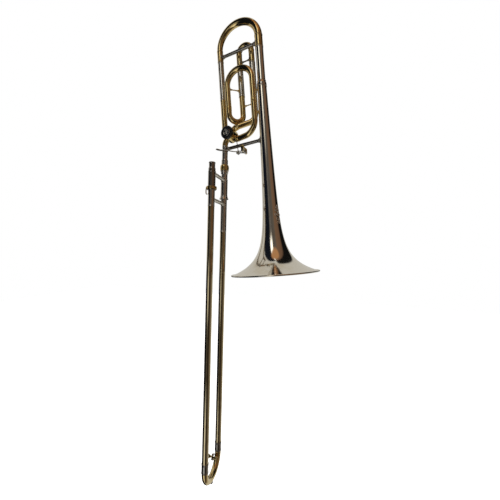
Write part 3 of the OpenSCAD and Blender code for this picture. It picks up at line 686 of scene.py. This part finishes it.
posts = Shape()
for z in (-7, 5):
    posts.block((-11.9, -13.4, z), (-6.1, -5.6, z + 2), KEY, 0.6)
    posts.ring([(1.1, z), (2.7, z), (2.7, z + 2), (1.1, z + 2)], 0.3, KP, 40)
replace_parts(posts.make("water_key_posts_detail", SLIDE, "nickel"), "water_key_saddle")

# ---- neck ---------------------------------------------------------------------------------------

crown = [(10.1 + 1.4 * math.cos(math.radians(t)), 8.5 + 7.2 * math.sin(math.radians(t)))
         for t in range(-60, 61, 8)]
nut_profile = [(10.05, 1.0), (10.9, 1.0)] + crown + [(9.6, 16.6), (8.7, 17), (8.7, 11.2), (10.05, 11.2)]
nut = Shape().ring(nut_profile, 0.25, RIGHT, 240, ripple=knurled(5.2, 11.8, 60, 0.14, 10.4))
stand_in(nut, "slide_nut", "slide_nut", "bright")

neck = Shape().ring([(7.42, 7.3), (9.7, 7.3), (9.7, 11), (8.6, 11), (8.6, 22)] + bead(8.5, 23, 1.6, 0.1)
    + [(8.6, 26), (8.5, 29), (7.95, 30.9), (7.55, 31), (7.55, 27.5), (7.42, 27.5)], 0.15, RIGHT)
stand_in(neck, "neck_receiver", ROOT_BODY, "nickel")
upper_joint = VALVE_C + ROOT + KNUCKLE_R * math.sin(math.pi / 4) + 2
port_a, port_c, lean = VALVE_A - ROOT, VALVE_C - ROOT, math.radians(5.75)
NECK_BEND = (port_a - port_c * math.tan(lean)) / (
    math.cos(lean) - math.sqrt(0.5) + math.tan(lean) * (math.sin(lean) - math.sqrt(0.5)))
lower_joint = 97.4 + (port_c - NECK_BEND * (math.sqrt(0.5) - math.sin(lean))) / math.cos(lean) - 2
lower = Shape().ring([(6.9, 27.6), (7.5, 27.6), (7.5, lower_joint), (6.9, lower_joint)], 0.08, RIGHT)
lower.ring([(7.5, lower_joint - 5)] + bead(7.55, lower_joint - 5, 1.6, 0.3) + [(7.75, lower_joint - 3)]
    + bead(7.55, lower_joint - 1.8, 1.6, 0.3) + [(7.5, lower_joint)], 0.1, RIGHT)
stand_in(lower, "neck_pipe_lower", ROOT_BODY, "nickel")
upper = Shape().ring([(6.9, upper_joint), (7.5, upper_joint), (7.5, 99.9), (6.9, 99.9)], 0.08, BELL)
stand_in(upper, "neck_pipe_upper", ROOT_BODY, "gold")
TOP = 195.5
sleeve = Shape().ring([(7.25, 100), (7.7, 100), (7.7, TOP - 4)] + bead(7.7, TOP - 3.4, 2.4, 0.3)
    + [(7.7, TOP - 0.6), (7.25, TOP)], 0.1, BELL)
sleeve.ring([(7.55, 91)] + bead(7.75, 91, 2.2, 0.35) + [(7.8, 94), (7.8, 98)]
    + bead(7.75, 98.6, 2.2, 0.35) + [(7.72, 101), (7.55, 101)], 0.1, BELL)
stand_in(sleeve, "neck_sleeve", ROOT_BODY, "nickel")

# ---- main tuning slide --------------------------------------------------------------------------

TUNING = "main_tuning_slide"
bow_c = 226.5
arc = [p + Vector((BELL_A / 2, 0, bow_c)) for p in u_path(BELL_A / 2, 72, 1)]
radii = [7.5 + i / 72 + 1.35 * max(0.0, (i / 72 - 0.35) / 0.65) ** 1.2 for i in range(73)]
crook = Shape()
crook.sweep([arc[0] - Vector((0, 0, 12))] + arc + [arc[-1] - Vector((0, 0, 12))],
            [radii[0]] + radii + [radii[-1]], BELL, 72)


def bow_ferrule(shape, m, r, low, high):
    shape.ring([(r - 0.35, low)] + bead(r + 0.25, low, 2.2, 0.45)
        + [(r + 0.3, low + 3), (r + 0.25, high - 6)] + bead(r + 0.2, high - 5.2, 1.3, 0.25)
        + bead(r + 0.25, high - 2.6, 2.2, 0.45) + [(r - 0.35, high)], 0.1, m)


bow_ferrule(crook, BELL, 7.55, TOP + 0.4, bow_c + 1)
bow_ferrule(crook, BELL_AXIS, 9.9, TOP + 0.4, bow_c + 1)
stand_in(crook, "main_tuning_bow", TUNING, "gold")
brace("main_tuning_brace_detail", "main_tuning_brace", (0, 0, TUNING_BRACE_C), (BELL_A, 0, TUNING_BRACE_C),
      4.2, 5.4, (7.75, 10.15), TUNING, "barrel", BELL, 6.5)

# ---- bell ---------------------------------------------------------------------------------------

RIM_R, BEAD_R = 106.97, 2.0
GAIN = RIM_R - BEAD_R - 9.9 - 0.0165 * (TOP - RIM_C)


def bell_r(c):
    return 9.9 + 0.0165 * (TOP - c) + GAIN * (1 + (c - RIM_C) / 120) ** -4


def bell_slope(c):
    return 0.0165 + GAIN / 30 * (1 + (c - RIM_C) / 120) ** -5


rings = [RIM_C + (100 - RIM_C) * (i / 150) ** 2.2 for i in range(151)]
outside = [(bell_r(c), c) for c in rings]
wall = 0.55
inside = [(bell_r(c) - wall * math.hypot(1, bell_slope(c)), c) for c in reversed(rings)]
bell = Shape().lathe(outside + inside, BELL_AXIS, 224)
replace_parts(bell.make("bell_detail", ROOT_BODY, "bell", 60), "bell")
rim_profile = [(RIM_R - BEAD_R + BEAD_R * math.cos(TAU * i / 20), RIM_C + BEAD_R * math.sin(TAU * i / 20))
               for i in range(20)]
rim = Shape().lathe(rim_profile, BELL_AXIS, 224)
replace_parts(rim.make("rim_detail", ROOT_BODY, "bell", 80), "rim_wire")
tail = Shape().ring([(9.6, 100.02), (10.1, 100.02), (10.1, TOP - 4)] + bead(10.1, TOP - 3.4, 2.4, 0.35)
    + [(10.1, TOP - 0.6), (9.6, TOP)], 0.1, BELL_AXIS)
stand_in(tail, "bell_sleeve", ROOT_BODY, "bell")
r0 = bell_r(92) + 0.05
stepped = Shape().ring([(r0, 92)] + bead(r0 + 0.4, 92, 2.0, 0.5)
    + [(r0 + 0.5, 95), (r0 + 0.45, 100.5), (11.0, 105.5)] + bead(10.9, 106, 1.9, 0.5)
    + [(10.12, 108), (10.12, 100.1), (r0, 100.1)], 0.1, BELL_AXIS)
stand_in(stepped, "bell_ferrule", ROOT_BODY, "nickel")

# Ornament: plain raised scrolls on the side of the bell away from the slide
ornament = Shape()
ORNAMENT_AT, ORNAMENT_C = math.radians(-20), -227.0


def on_bell(across, c, lift):
    r = bell_r(c) + lift
    angle = ORNAMENT_AT + across / bell_r(c)
    return Vector((r * math.cos(angle), r * math.sin(angle), c))


def scroll(side, c0, size, turns=1.4, steps=48):
    """A spiral that starts on the middle line and curls outwards to its eye."""
    path, widths = [], []
    for i in range(steps + 1):
        t = i / steps
        r = size * (1 - t) ** 0.85 + size * 0.1
        angle = math.pi + turns * TAU * t
        path.append(on_bell(side * (size + r * math.cos(angle)), c0 + r * math.sin(angle), 0.45))
        widths.append(0.5 + 0.45 * math.sin(math.pi * t))
    ornament.sweep(path, widths, BELL_AXIS, 12)


def leaf(across, c0, length, lean_out, steps=16):
    path = [on_bell(across + lean_out * math.sin(math.pi * i / steps / 2), c0 + length * i / steps, 0.3)
            for i in range(steps + 1)]
    widths = [0.15 + 0.85 * math.sin(math.pi * i / steps) for i in range(steps + 1)]
    ornament.sweep(path, widths, BELL_AXIS, 12, flat=0.6)


for side in (-1, 1):
    scroll(side, ORNAMENT_C + 7, 3.6)
    scroll(side, ORNAMENT_C - 4, 4.6)
    scroll(side, ORNAMENT_C - 14, 3.0)
    leaf(side * 1.0, ORNAMENT_C + 9, 8, side * 3.2)
    leaf(side * 1.0, ORNAMENT_C - 19, -8, side * 3.0)
leaf(0, ORNAMENT_C + 8, 13, 0)
leaf(0, ORNAMENT_C - 9, 15, 0)
leaf(0, ORNAMENT_C - 14, -14, 0)
ornament.make("bell_ornament", ROOT_BODY, "satin")

neck_at = MAIN_BRACE_C * math.tan(lean)
brace("main_brace_detail", "main_brace", (neck_at, 0, MAIN_BRACE_C), (BELL_A, 0, MAIN_BRACE_C),
      4.4, 6.0, (7.55, bell_r(MAIN_BRACE_C) + 0.15), ROOT_BODY, "barrel", BELL, 7.5)

# ---- F attachment -------------------------------------------------------------------------------

start_a = VALVE_A + ROOT + KNUCKLE_R * math.sin(math.pi / 4) + 2
low_c = VALVE_C - ROOT - KNUCKLE_R * (1 - math.cos(math.pi / 4))


def f_pipe(cad, path):
    stand_in(Shape().sweep(path, F_R, BELL, 56), cad, ROOT_BODY, "gold")


f_pipe("f_lower_branch", fillet([(start_a, 0, low_c), (start_a + 6, 0, low_c), (A_NEAR_R, NEAR_B, low_c),
    (A_NEAR_R, NEAR_B, F_JOINT_C)], [20, 32]))

bend = (A_NEAR_R - A_NEAR_L) / 2
mid = Vector((A_NEAR_L + bend, NEAR_B, 119.5))
f_pipe("f_upper_crook", [(A_NEAR_L, NEAR_B, F_JOINT_C), (A_NEAR_L, NEAR_B, 118.9)]
       + [p + mid for p in u_path(bend, 60)] + [(A_NEAR_R, NEAR_B, 118.9), (A_NEAR_R, NEAR_B, F_JOINT_C)])

across = Vector((A_FAR_L - A_NEAR_L, FAR_B - NEAR_B, 0))
m = turn("Z", math.degrees(math.atan2(across.y, across.x)))
centre = Vector((A_NEAR_L, NEAR_B, 46)) + across / 2
f_pipe("f_lower_crook", [(A_NEAR_L, NEAR_B, F_JOINT_C), (A_NEAR_L, NEAR_B, 46.6)]
       + [centre + m @ p for p in u_path(across.length / 2, 48, -1)]
       + [(A_FAR_L, FAR_B, 46.6), (A_FAR_L, FAR_B, F_SLEEVE_LOW)])

cut = KNUCKLE_R * math.tan(math.radians(15))
end = polar(CASING_R + 0.6 + cut, 45) + polar(cut + 2, 15)
s0 = Vector((VALVE_A + end.x, 0, VALVE_C + end.z))
rise = s0.z + (A_FAR_R - s0.x) * math.tan(math.radians(15))
f_pipe("f_return_branch", fillet([
    s0, s0 + polar(6, 15), (A_FAR_R, FAR_B, rise), (A_FAR_R, FAR_B, F_SLEEVE_LOW)], [20, 24]))

# Ferrules over the joints of the F attachment and of the knuckles
joints = Shape()


def collar(m, r, low, high):
    joints.ring([(r - 0.02, low)] + bead(r + 0.2, low, 1.5, 0.25)
        + [(r + 0.28, low + 2), (r + 0.28, high - 2)] + bead(r + 0.2, high - 1.5, 1.5, 0.25)
        + [(r - 0.02, high)], 0.1, m, 64)


for a in (A_NEAR_L, A_NEAR_R):
    collar(BELL @ move(a, NEAR_B, 0), F_R, F_JOINT_C - 5, F_JOINT_C + 5)
collar(BELL, 7.5, upper_joint - 4, upper_joint + 4)
collar(BELL @ facing((start_a, 0, low_c), (1, 0, 0)), F_R + 0.2, -3.5, 4)
collar(BELL @ facing(s0, polar(1, 15)), F_R + 0.2, -3.5, 4)
joints.make("f_joint_ferrules", ROOT_BODY, "bright")

knuckles = Shape()
for angle, heading, bend_r in (
        (135, 90, KNUCKLE_R), (45, 15, KNUCKLE_R), (-45, 0, KNUCKLE_R), (-135, -95.75, NECK_BEND)):
    r = CASING_R + 0.6
    cut = bend_r * math.tan(math.radians(abs(heading - angle) / 2))
    corner = polar(r + cut, angle)
    run = [polar(r, angle) - polar(0.01, angle), corner, corner + polar(cut + 2, heading)]
    path = fillet(run, [bend_r])[2:]
    knuckles.sweep([polar(r, angle)] + path, 7.5, VALVE, 56)
stand_in(knuckles, "knuckles", ROOT_BODY, "gold")

fsleeve = Shape()
for a in (A_FAR_L, A_FAR_R):
    fsleeve.ring([(7.05, 95), (7.9, 95)] + bead(8.0, 95.2, 2.2, 0.4) + [(8.0, 98.5)]
        + bead(7.95, 100.6, 1.4, 0.3) + [(8.0, 103), (8.0, 173)] + bead(7.95, 174, 2.6, 0.35)
        + [(7.95, 177.4), (7.05, 178)], 0.12, BELL @ move(a, FAR_B, 0), 72)
stand_in(fsleeve, "f_slide_sleeves", ROOT_BODY, "nickel")
FT = "f_tuning_slide"
bend = (A_FAR_R - A_FAR_L) / 2
mid = Vector((A_FAR_L + bend, FAR_B, F_BOW_C))
fbow = Shape().sweep(
    [(A_FAR_L, FAR_B, 200)] + [p + mid for p in u_path(bend, 48)] + [(A_FAR_R, FAR_B, 200)], F_R, BELL, 56)
for a in (A_FAR_L, A_FAR_R):
    bow_ferrule(fbow, BELL @ move(a, FAR_B, 0), 7.3, 178.4, F_BOW_C)
stand_in(fbow, "f_slide_bow", FT, "gold")
brace("f_slide_brace_detail", "f_slide_brace", (A_FAR_L, FAR_B, F_BRACE_C), (A_FAR_R, FAR_B, F_BRACE_C),
      1.9, 2.9, (7.55, 7.55), FT, "barrel", BELL, 4.0)

# Stays: two axis points, and the radius of the tube at each
stays = [
    ((A_NEAR_L, NEAR_B, 112), (A_FAR_L, FAR_B, 112), F_R, 8.0),
    ((A_FAR_L, FAR_B, 69.5), (A_FAR_R, FAR_B, 69.5), F_R, F_R),
    ((A_NEAR_R, NEAR_B, 87), (BELL_A, 0, 87), F_R, bell_r(85)),
    ((A_NEAR_R, NEAR_B, 30), (BELL_A, 0, 30), F_R, bell_r(28))]
stay_shape = Shape()
for p, q, rp, rq in stays:
    p, q = Vector(p), Vector(q)
    d = (q - p).normalized()
    start = p + d * (rp - 0.2)
    length = (q - d * (rq - 0.2) - start).length
    turned = brace_profile(length, 1.55, 2.3)[1:-1]
    plain = [(2.2, 0), (1.6, 1.2), (1.5, length / 2), (1.6, length - 1.2), (2.2, length)]
    stay_shape.plug(turned if length > 16 else plain, 0.2, BELL @ facing(start, d), 32, steps=2)
    stay_shape.saddle(rp, BELL @ facing(p, (0, 0, 1), d), 40, 4.2, 0.6)
    stay_shape.saddle(rq + 0.1, BELL @ facing(q, (0, 0, 1), -d), 40 if rq < 9 else 28, 4.2, 0.6)
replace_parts(stay_shape.make("f_stays_detail", ROOT_BODY, "bright"), "f_braces")

# ---- valve --------------------------------------------------------------------------------------

# The z of this frame is the rotor's axis, pointing away from the front
VY = VALVE @ Y_TO_Z
cap = Shape().ring([(13, -14.05), (16.3, -14.05), (16.8, -14.8), (16.8, -19.8), (16.2, -20.6),
    (15.2, -21.1), (14.4, -21.5), (10.4, -21.5), (9.7, -21.1), (9.5, -20.2), (9.5, -20.19), (0, -20.18),
    (0, -18.5), (13, -18.5)], 0.3, VY, 288, ripple=knurled(-19.4, -15.2, 96, 0.28, 16.6))
stand_in(cap, "rotor_cap", ROOT_BODY, "black")


def petals(r, z, t):
    """Eight raised petals between radius 1.6 and 6.8 on the medallion's face."""
    if z >= -21.1 or not 1.6 < r < 6.8:
        return r, z
    return r, z - 0.35 * (0.5 + 0.5 * math.cos(8 * t)) * math.sin(math.pi * min(1, max(0, (r - 1.6) / 5.2)))


rosette = [(7.4 - 0.5 * i, -21.4) for i in range(12)]
edge = [(0, -20.25), (9.45, -20.25), (9.45, -21.3), (9.0, -21.75), (8.2, -21.8), (7.6, -21.45)]
medal_profile = edge + rosette + [(1.35, -21.55), (0.7, -21.85), (0, -21.9)]
medal = Shape().lathe(medal_profile, VY, 192, closed=False, ripple=petals)
stand_in(medal, "cap_medallion", ROOT_BODY, "nickel")

casing = Shape().ring([(14.55, -13.95), (16.35, -13.95), (16.35, -12.4), (16.1, -12.0), (16.1, 12.0),
    (16.35, 12.4), (16.35, 13.95), (4.05, 13.95), (4.05, 11.6), (14.55, 11.6)], 0.25, VY, 128)
for angle in (135, 45, -45, -135):
    along = VALVE @ facing((0, 0, 0), polar(1, angle))
    casing.ring([(7.52, 14.0), (7.52, 15.6)] + bead(7.5, 15.7, 1.3, 0.3)
        + [(7.5, 17.02), (6.9, 17.02), (6.9, 14.0)], 0.08, along, 64)
stand_in(casing, "rotor_casing", ROOT_BODY, "bright")

plate = Shape().ring([(5.0, 14.05), (13, 14.05), (13, 15.6), (12.4, 16.0), (5.0, 16.0)], 0.25, VY, 96)
for s in (-1, 1):
    plate.block((9.6, 15.5, -3), (12.6, 19.6, 3), VALVE @ turn("Y", -s * 81.5), 0.5)
    screw = VALVE @ turn("Y", -s * 150) @ facing((9.6, 16.0, 0), (0, 1, 0))
    plate.plug([(0, 0.9), (1.4, 0.8), (1.8, 0.3), (1.8, 0)], 0.15, screw, 32, steps=2)
stand_in(plate, "stop_plate", ROOT_BODY, "rotor")

arm = Shape().ring([(4.04, 16.4), (8.6, 16.4), (8.6, 18.9), (8.0, 19.4), (4.04, 19.4)], 0.3, VY, 80)
swing = VALVE @ turn("Y", -45)
arm.strap([((a, 17.9, 0), 1.45, 1.4) for a in (5, 9, 12.2)], (0, 0, 1), swing)
arm.plug([(0, 22.2), (1.3, 22.2), (1.6, 21.8), (1.6, 19.6), (2.4, 19.3)], 0.2,
         swing @ move(6.5, 0, 0) @ Y_TO_Z, 40)
stand_in(arm, "stop_arm", "rotor", "nickel")

# ---- thumb lever --------------------------------------------------------------------------------

LEVER = "thumb_lever"
lever = Shape()
PY = PIVOT @ Y_TO_Z
lever.ring([(1.57, 0), (3.1, 0), (3.1, 2.0), (2.75, 2.5), (2.75, 14.9), (3.1, 15.4), (3.1, 19),
    (1.57, 19)], 0.25, PY, 56)
lever.strap([((-1.5, 3.4, 0), 2.0, 1.0), ((-10, 2.4, 0.8), 2.0, 1.0), ((-22, 0, 2), 2.15, 0.95),
    ((-30, -4.6, 3.3), 2.3, 0.95), ((-37, -10, 5), 2.4, 0.95), ((-46, -12, 6.8), 2.8, 1.3),
    ((-53, -12.6, 8.2), 3.4, 1.6), ((-60, -13.1, 10.6), 4.5, 1.8), ((-66, -13.4, 13), 4.6, 1.8),
    ((-69.6, -13.5, 14.1), 2.8, 1.4), ((-70.4, -13.5, 14.3), 1.0, 0.5)], (0, 1, 0), PIVOT, 7, 28)
throw = PIVOT @ turn("Y", 11)
lever.strap([((-2, 17.2, 0), 1.6, 1.6), ((-8, 17.2, 0), 1.55, 1.45), ((-16, 17.2, 0), 1.5, 1.35),
    ((-23.5, 17.2, 0), 1.6, 1.55)], (0, 1, 0), throw, 5, 24)
lever.plug([(0, 15.6), (3.0, 15.6), (3.2, 16.0), (3.2, 18.4), (2.9, 18.8), (1.6, 18.9), (1.6, 21.8),
    (1.3, 22.2), (0, 22.2)], 0.2, throw @ move(-24, 0, 0) @ Y_TO_Z, 48)
stand_in(lever, "thumb_lever", LEVER, "satin")

saddle = Shape()
for b in (-1.5, 20.5):
    saddle.block((-3.4, b - 1.15, -0.5), (3.4, b + 1.15, 9.4), PIVOT, 0.5)
    saddle.ring([(1.55, b - 1.2), (3.45, b - 1.2), (3.45, b + 1.2), (1.55, b + 1.2)], 0.25, PY, 56)
saddle.block((-3.5, -2.7, 8.2), (3.5, 21.7, 10.4), PIVOT, 0.5)
saddle.saddle(4.0, BELL @ facing((PIVOT_A, 0, MAIN_BRACE_C), (1, 0, 0), (0, 0, -1)), 95, 6.0, 0.8)
stand_in(saddle, "lever_saddle", ROOT_BODY, "bright")
pin = Shape().plug([(0, -3.9), (2.3, -3.8), (2.6, -3.3), (2.6, -2.75), (1.5, -2.7), (1.5, 21.8),
    (2.3, 21.8), (2.3, 22.9), (0, 23.1)], 0.2, PY, 40)
stand_in(pin, "lever_pin", ROOT_BODY, "steel")
lever_coil = Shape().spring(3.55, 0.4, 6.0, 13.4, 6.5, PY)
stand_in(lever_coil, "lever_spring", ROOT_BODY, "steel")

# The rod runs from the lever's arm, 24 mm from its pivot, to the stop arm, 6.5 mm from the rotor's axis
low = Vector((PIVOT_A, LINK_B, PIVOT_C)) - polar(24, -11)
high = Vector((VALVE_A, LINK_B, VALVE_C)) + polar(6.5, 45)
rod = Shape()
along = BELL @ facing(low, high - low)
length = (high - low).length
rod.plug([(0.2, 2.4), (2.0, 2.4), (2.0, 5.5), (1.3, 6.2), (1.05, 8), (1.05, length - 8),
    (1.3, length - 6.2), (2.0, length - 5.5), (2.0, length - 2.4), (0.2, length - 2.4)], 0.25, along, 40)
for z in (7.0, length - 8.6):
    rod.lathe([(0.9, z), (2.25, z), (2.25, z + 1.6), (0.9, z + 1.6)], along, 6)
for p in (low, high):
    rod.plug([(0, -1.5), (2.6, -1.5), (3.0, -1.0), (3.0, 1.0), (2.6, 1.5), (1.2, 1.5), (0.9, 1.2),
        (0, 1.2)], 0.3, BELL @ move(*p) @ Y_TO_Z, 48)
stand_in(rod, "link_rod", "link_rod", "barrel")

# ---- floor, light and camera --------------------------------------------------------------------

# The instrument hangs; the floor clears the slide at its longest. From here on lengths are in metres.
SLIDE_TRAVEL = 0.58
FLOOR_HALF = 6
low_z = cad_box[0].z - SLIDE_TRAVEL - 0.01
corners = [(x * FLOOR_HALF, y * FLOOR_HALF, low_z) for x, y in ((-1, -1), (1, -1), (1, 1), (-1, 1))]
floor_mesh = bpy.data.meshes.new("floor")
floor_mesh.from_pydata(corners, [], [(0, 1, 2, 3)])
floor = bpy.data.objects.new("floor", floor_mesh)
bpy.context.scene.collection.objects.link(floor)
floor_mat, tree, shader = new_material("pale_floor")
drift = ramp(tree, noise(tree, 3.0), [(0.3, (0.90, 0.90, 0.90)), (0.7, (0.93, 0.93, 0.93))])
tree.links.new(drift, shader.inputs["Base Color"])
shader.inputs["Roughness"].default_value = 0.9
shader.inputs["Emission Color"].default_value = (1, 1, 1, 1)
shader.inputs["Emission Strength"].default_value = 1.0
floor_mesh.materials.append(floor_mat)
floor.visible_glossy = False

AZ = math.radians(16.18)
to_camera = Vector((math.sin(AZ), -math.cos(AZ), 0))
to_right = Vector((math.cos(AZ), math.sin(AZ), 0))

world = bpy.data.worlds.new("studio")
bpy.context.scene.world = world
world.use_nodes = True
tree = world.node_tree
tree.nodes.clear()
out = tree.nodes.new("ShaderNodeOutputWorld")
coords = tree.nodes.new("ShaderNodeTexCoord")


def dot(vector):
    n = node(tree, "ShaderNodeVectorMath", operation="DOT_PRODUCT")
    tree.links.new(coords.outputs["Generated"], n.inputs[0])
    n.inputs[1].default_value = vector
    return n.outputs["Value"]


def smooth(value, start, end):
    return map_range(tree, value, start, end, kind="SMOOTHSTEP")


def product(p, q):
    n = node(tree, "ShaderNodeMath", operation="MULTIPLY")
    tree.links.new(p, n.inputs[0])
    tree.links.new(q, n.inputs[1])
    return n.outputs["Value"]


def layer(base, over, fac):
    """A plain colour or another node's colour, laid over base."""
    n = node(tree, "ShaderNodeMix", data_type="RGBA")
    tree.links.new(fac, n.inputs["Factor"])
    tree.links.new(base, n.inputs[6])
    if isinstance(over, tuple):
        n.inputs[7].default_value = (*over, 1)
    else:
        tree.links.new(over, n.inputs[7])
    return n.outputs[2]


# The room, as a polished surface sees it: a dark side behind the camera, with a warm wall to its right and a
# narrow lamp to its left, and the pale paper behind and above the instrument.
azimuth = node(tree, "ShaderNodeMath", operation="ARCTAN2")
tree.links.new(dot(to_right), azimuth.inputs[0])
tree.links.new(dot(to_camera), azimuth.inputs[1])
around = map_range(tree, azimuth.outputs["Value"], -math.pi, math.pi)
PALE, NIGHT, BLACK = (0.62, 0.62, 0.58), (0.006, 0.008, 0.014), (0.006, 0.006, 0.006)
LAMP_OFF, LAMP_ON = (0.0, 0.0, 0.0), (1.0, 1.0, 1.0)


def by_azimuth(*stops):
    """Colours by the angle from straight behind the camera towards its right, in degrees."""
    return ramp(tree, around, [((angle + 180) / 360, colour) for angle, colour in stops])


# What surfaces see level with the camera and above it
room = by_azimuth((-180, PALE), (-104, PALE), (-96, NIGHT), (-38, NIGHT), (-30, (0.13, 0.12, 0.11)),
    (-16, (0.12, 0.105, 0.09)), (-8, (0.09, 0.08, 0.07)), (20, (0.12, 0.10, 0.08)),
    (30, (0.18, 0.105, 0.062)), (74, (0.15, 0.085, 0.052)), (86, BLACK), (158, BLACK), (164, PALE),
    (180, PALE))
height = dot(Vector((0, 0, 1)))
# What they see below it: a darker room, with the window's streak on the long slide
below = by_azimuth((-180, NIGHT), (-52, NIGHT), (-43, (0.03, 0.022, 0.015)), (30, (0.03, 0.022, 0.016)),
    (56, (0.15, 0.12, 0.09)), (90, (0.20, 0.165, 0.13)), (120, PALE), (180, PALE))
down = dot(Vector((0, 0, -1)))
streak = ((0.0, 0.75), (0.21, 0.75), (0.28, 0.05), (0.44, 0.05), (0.54, 1.0))
window = product(by_azimuth((-52, LAMP_OFF), (-43, LAMP_ON), (-12, LAMP_ON), (-3, LAMP_OFF)),
                 ramp(tree, down, [(d, (v, v, v)) for d, v in streak]))
below = layer(below, (1.0, 0.99, 0.95), window)
room = layer(room, below, smooth(down, 0.02, 0.12))
strip = by_azimuth((-36, LAMP_OFF), (-31, LAMP_ON), (-15, LAMP_ON), (-10, LAMP_OFF))
room = layer(room, (1.7, 1.65, 1.5), product(strip, smooth(height, 0.38, 0.60)))
overhead = (to_camera * 0.42 + Vector((0, 0, 0.90))).normalized()
room = layer(room, (0.46, 0.23, 0.10), smooth(dot(overhead), 0.93, 0.975))
paper = product(smooth(dot(to_camera * -1.0 + to_right * -0.455 + Vector((0, 0, 0.455))), 0.58, 0.66),
                smooth(height, 0.04, 0.10))
room = layer(room, (0.56, 0.54, 0.49), paper)
rays = tree.nodes.new("ShaderNodeLightPath")
seen = layer(room, (1.0, 1.0, 1.0), rays.outputs["Is Camera Ray"])
background = tree.nodes.new("ShaderNodeBackground")
tree.links.new(seen, background.inputs["Color"])
tree.links.new(background.outputs["Background"], out.inputs["Surface"])


def area(name, place, target, size, power, colour=(1, 1, 1)):
    light = bpy.data.lights.new(name, "AREA")
    light.shape = "RECTANGLE"
    light.size, light.size_y = size
    light.energy = power
    light.color = colour
    obj = bpy.data.objects.new(name, light)
    bpy.context.scene.collection.objects.link(obj)
    obj.location = place
    obj.rotation_euler = (Vector(target) - Vector(place)).to_track_quat("-Z", "Y").to_euler()
    obj.visible_glossy = False


middle = Vector((0.08, 0.05, -0.2))
area("key_light", middle + to_camera * 1.2 - to_right * 1.1 + Vector((0, 0, 1.4)), middle, (0.9, 0.9), 22)
area("fill_light", middle + to_camera + to_right * 1.4 + Vector((0, 0, 0.5)), middle, (0.7, 1.2), 7,
     (1.0, 0.93, 0.84))
area("top_light", middle + Vector((0, 0, 2.2)), middle, (1.6, 1.6), 20)

CAMERA_AT = (0.2743, -0.6046, -0.2038)
PITCH, ROLL = math.radians(-0.235), math.radians(1.388)
camera = bpy.data.cameras.new("camera")
camera.lens, camera.sensor_width = 19.86, 36.0
camera.clip_start = 0.01
cam = bpy.data.objects.new("camera", camera)
bpy.context.scene.collection.objects.link(cam)
bpy.context.scene.camera = cam
ahead = Vector((-math.sin(AZ) * math.cos(PITCH), math.cos(AZ) * math.cos(PITCH), math.sin(PITCH)))
level_up = to_right.cross(ahead)
right = to_right * math.cos(ROLL) + level_up * math.sin(ROLL)
up = level_up * math.cos(ROLL) - to_right * math.sin(ROLL)
cam.matrix_world = Matrix.Translation(CAMERA_AT) @ Matrix((right, up, -ahead)).transposed().to_4x4()
bpy.context.scene.view_settings.view_transform = "Standard"
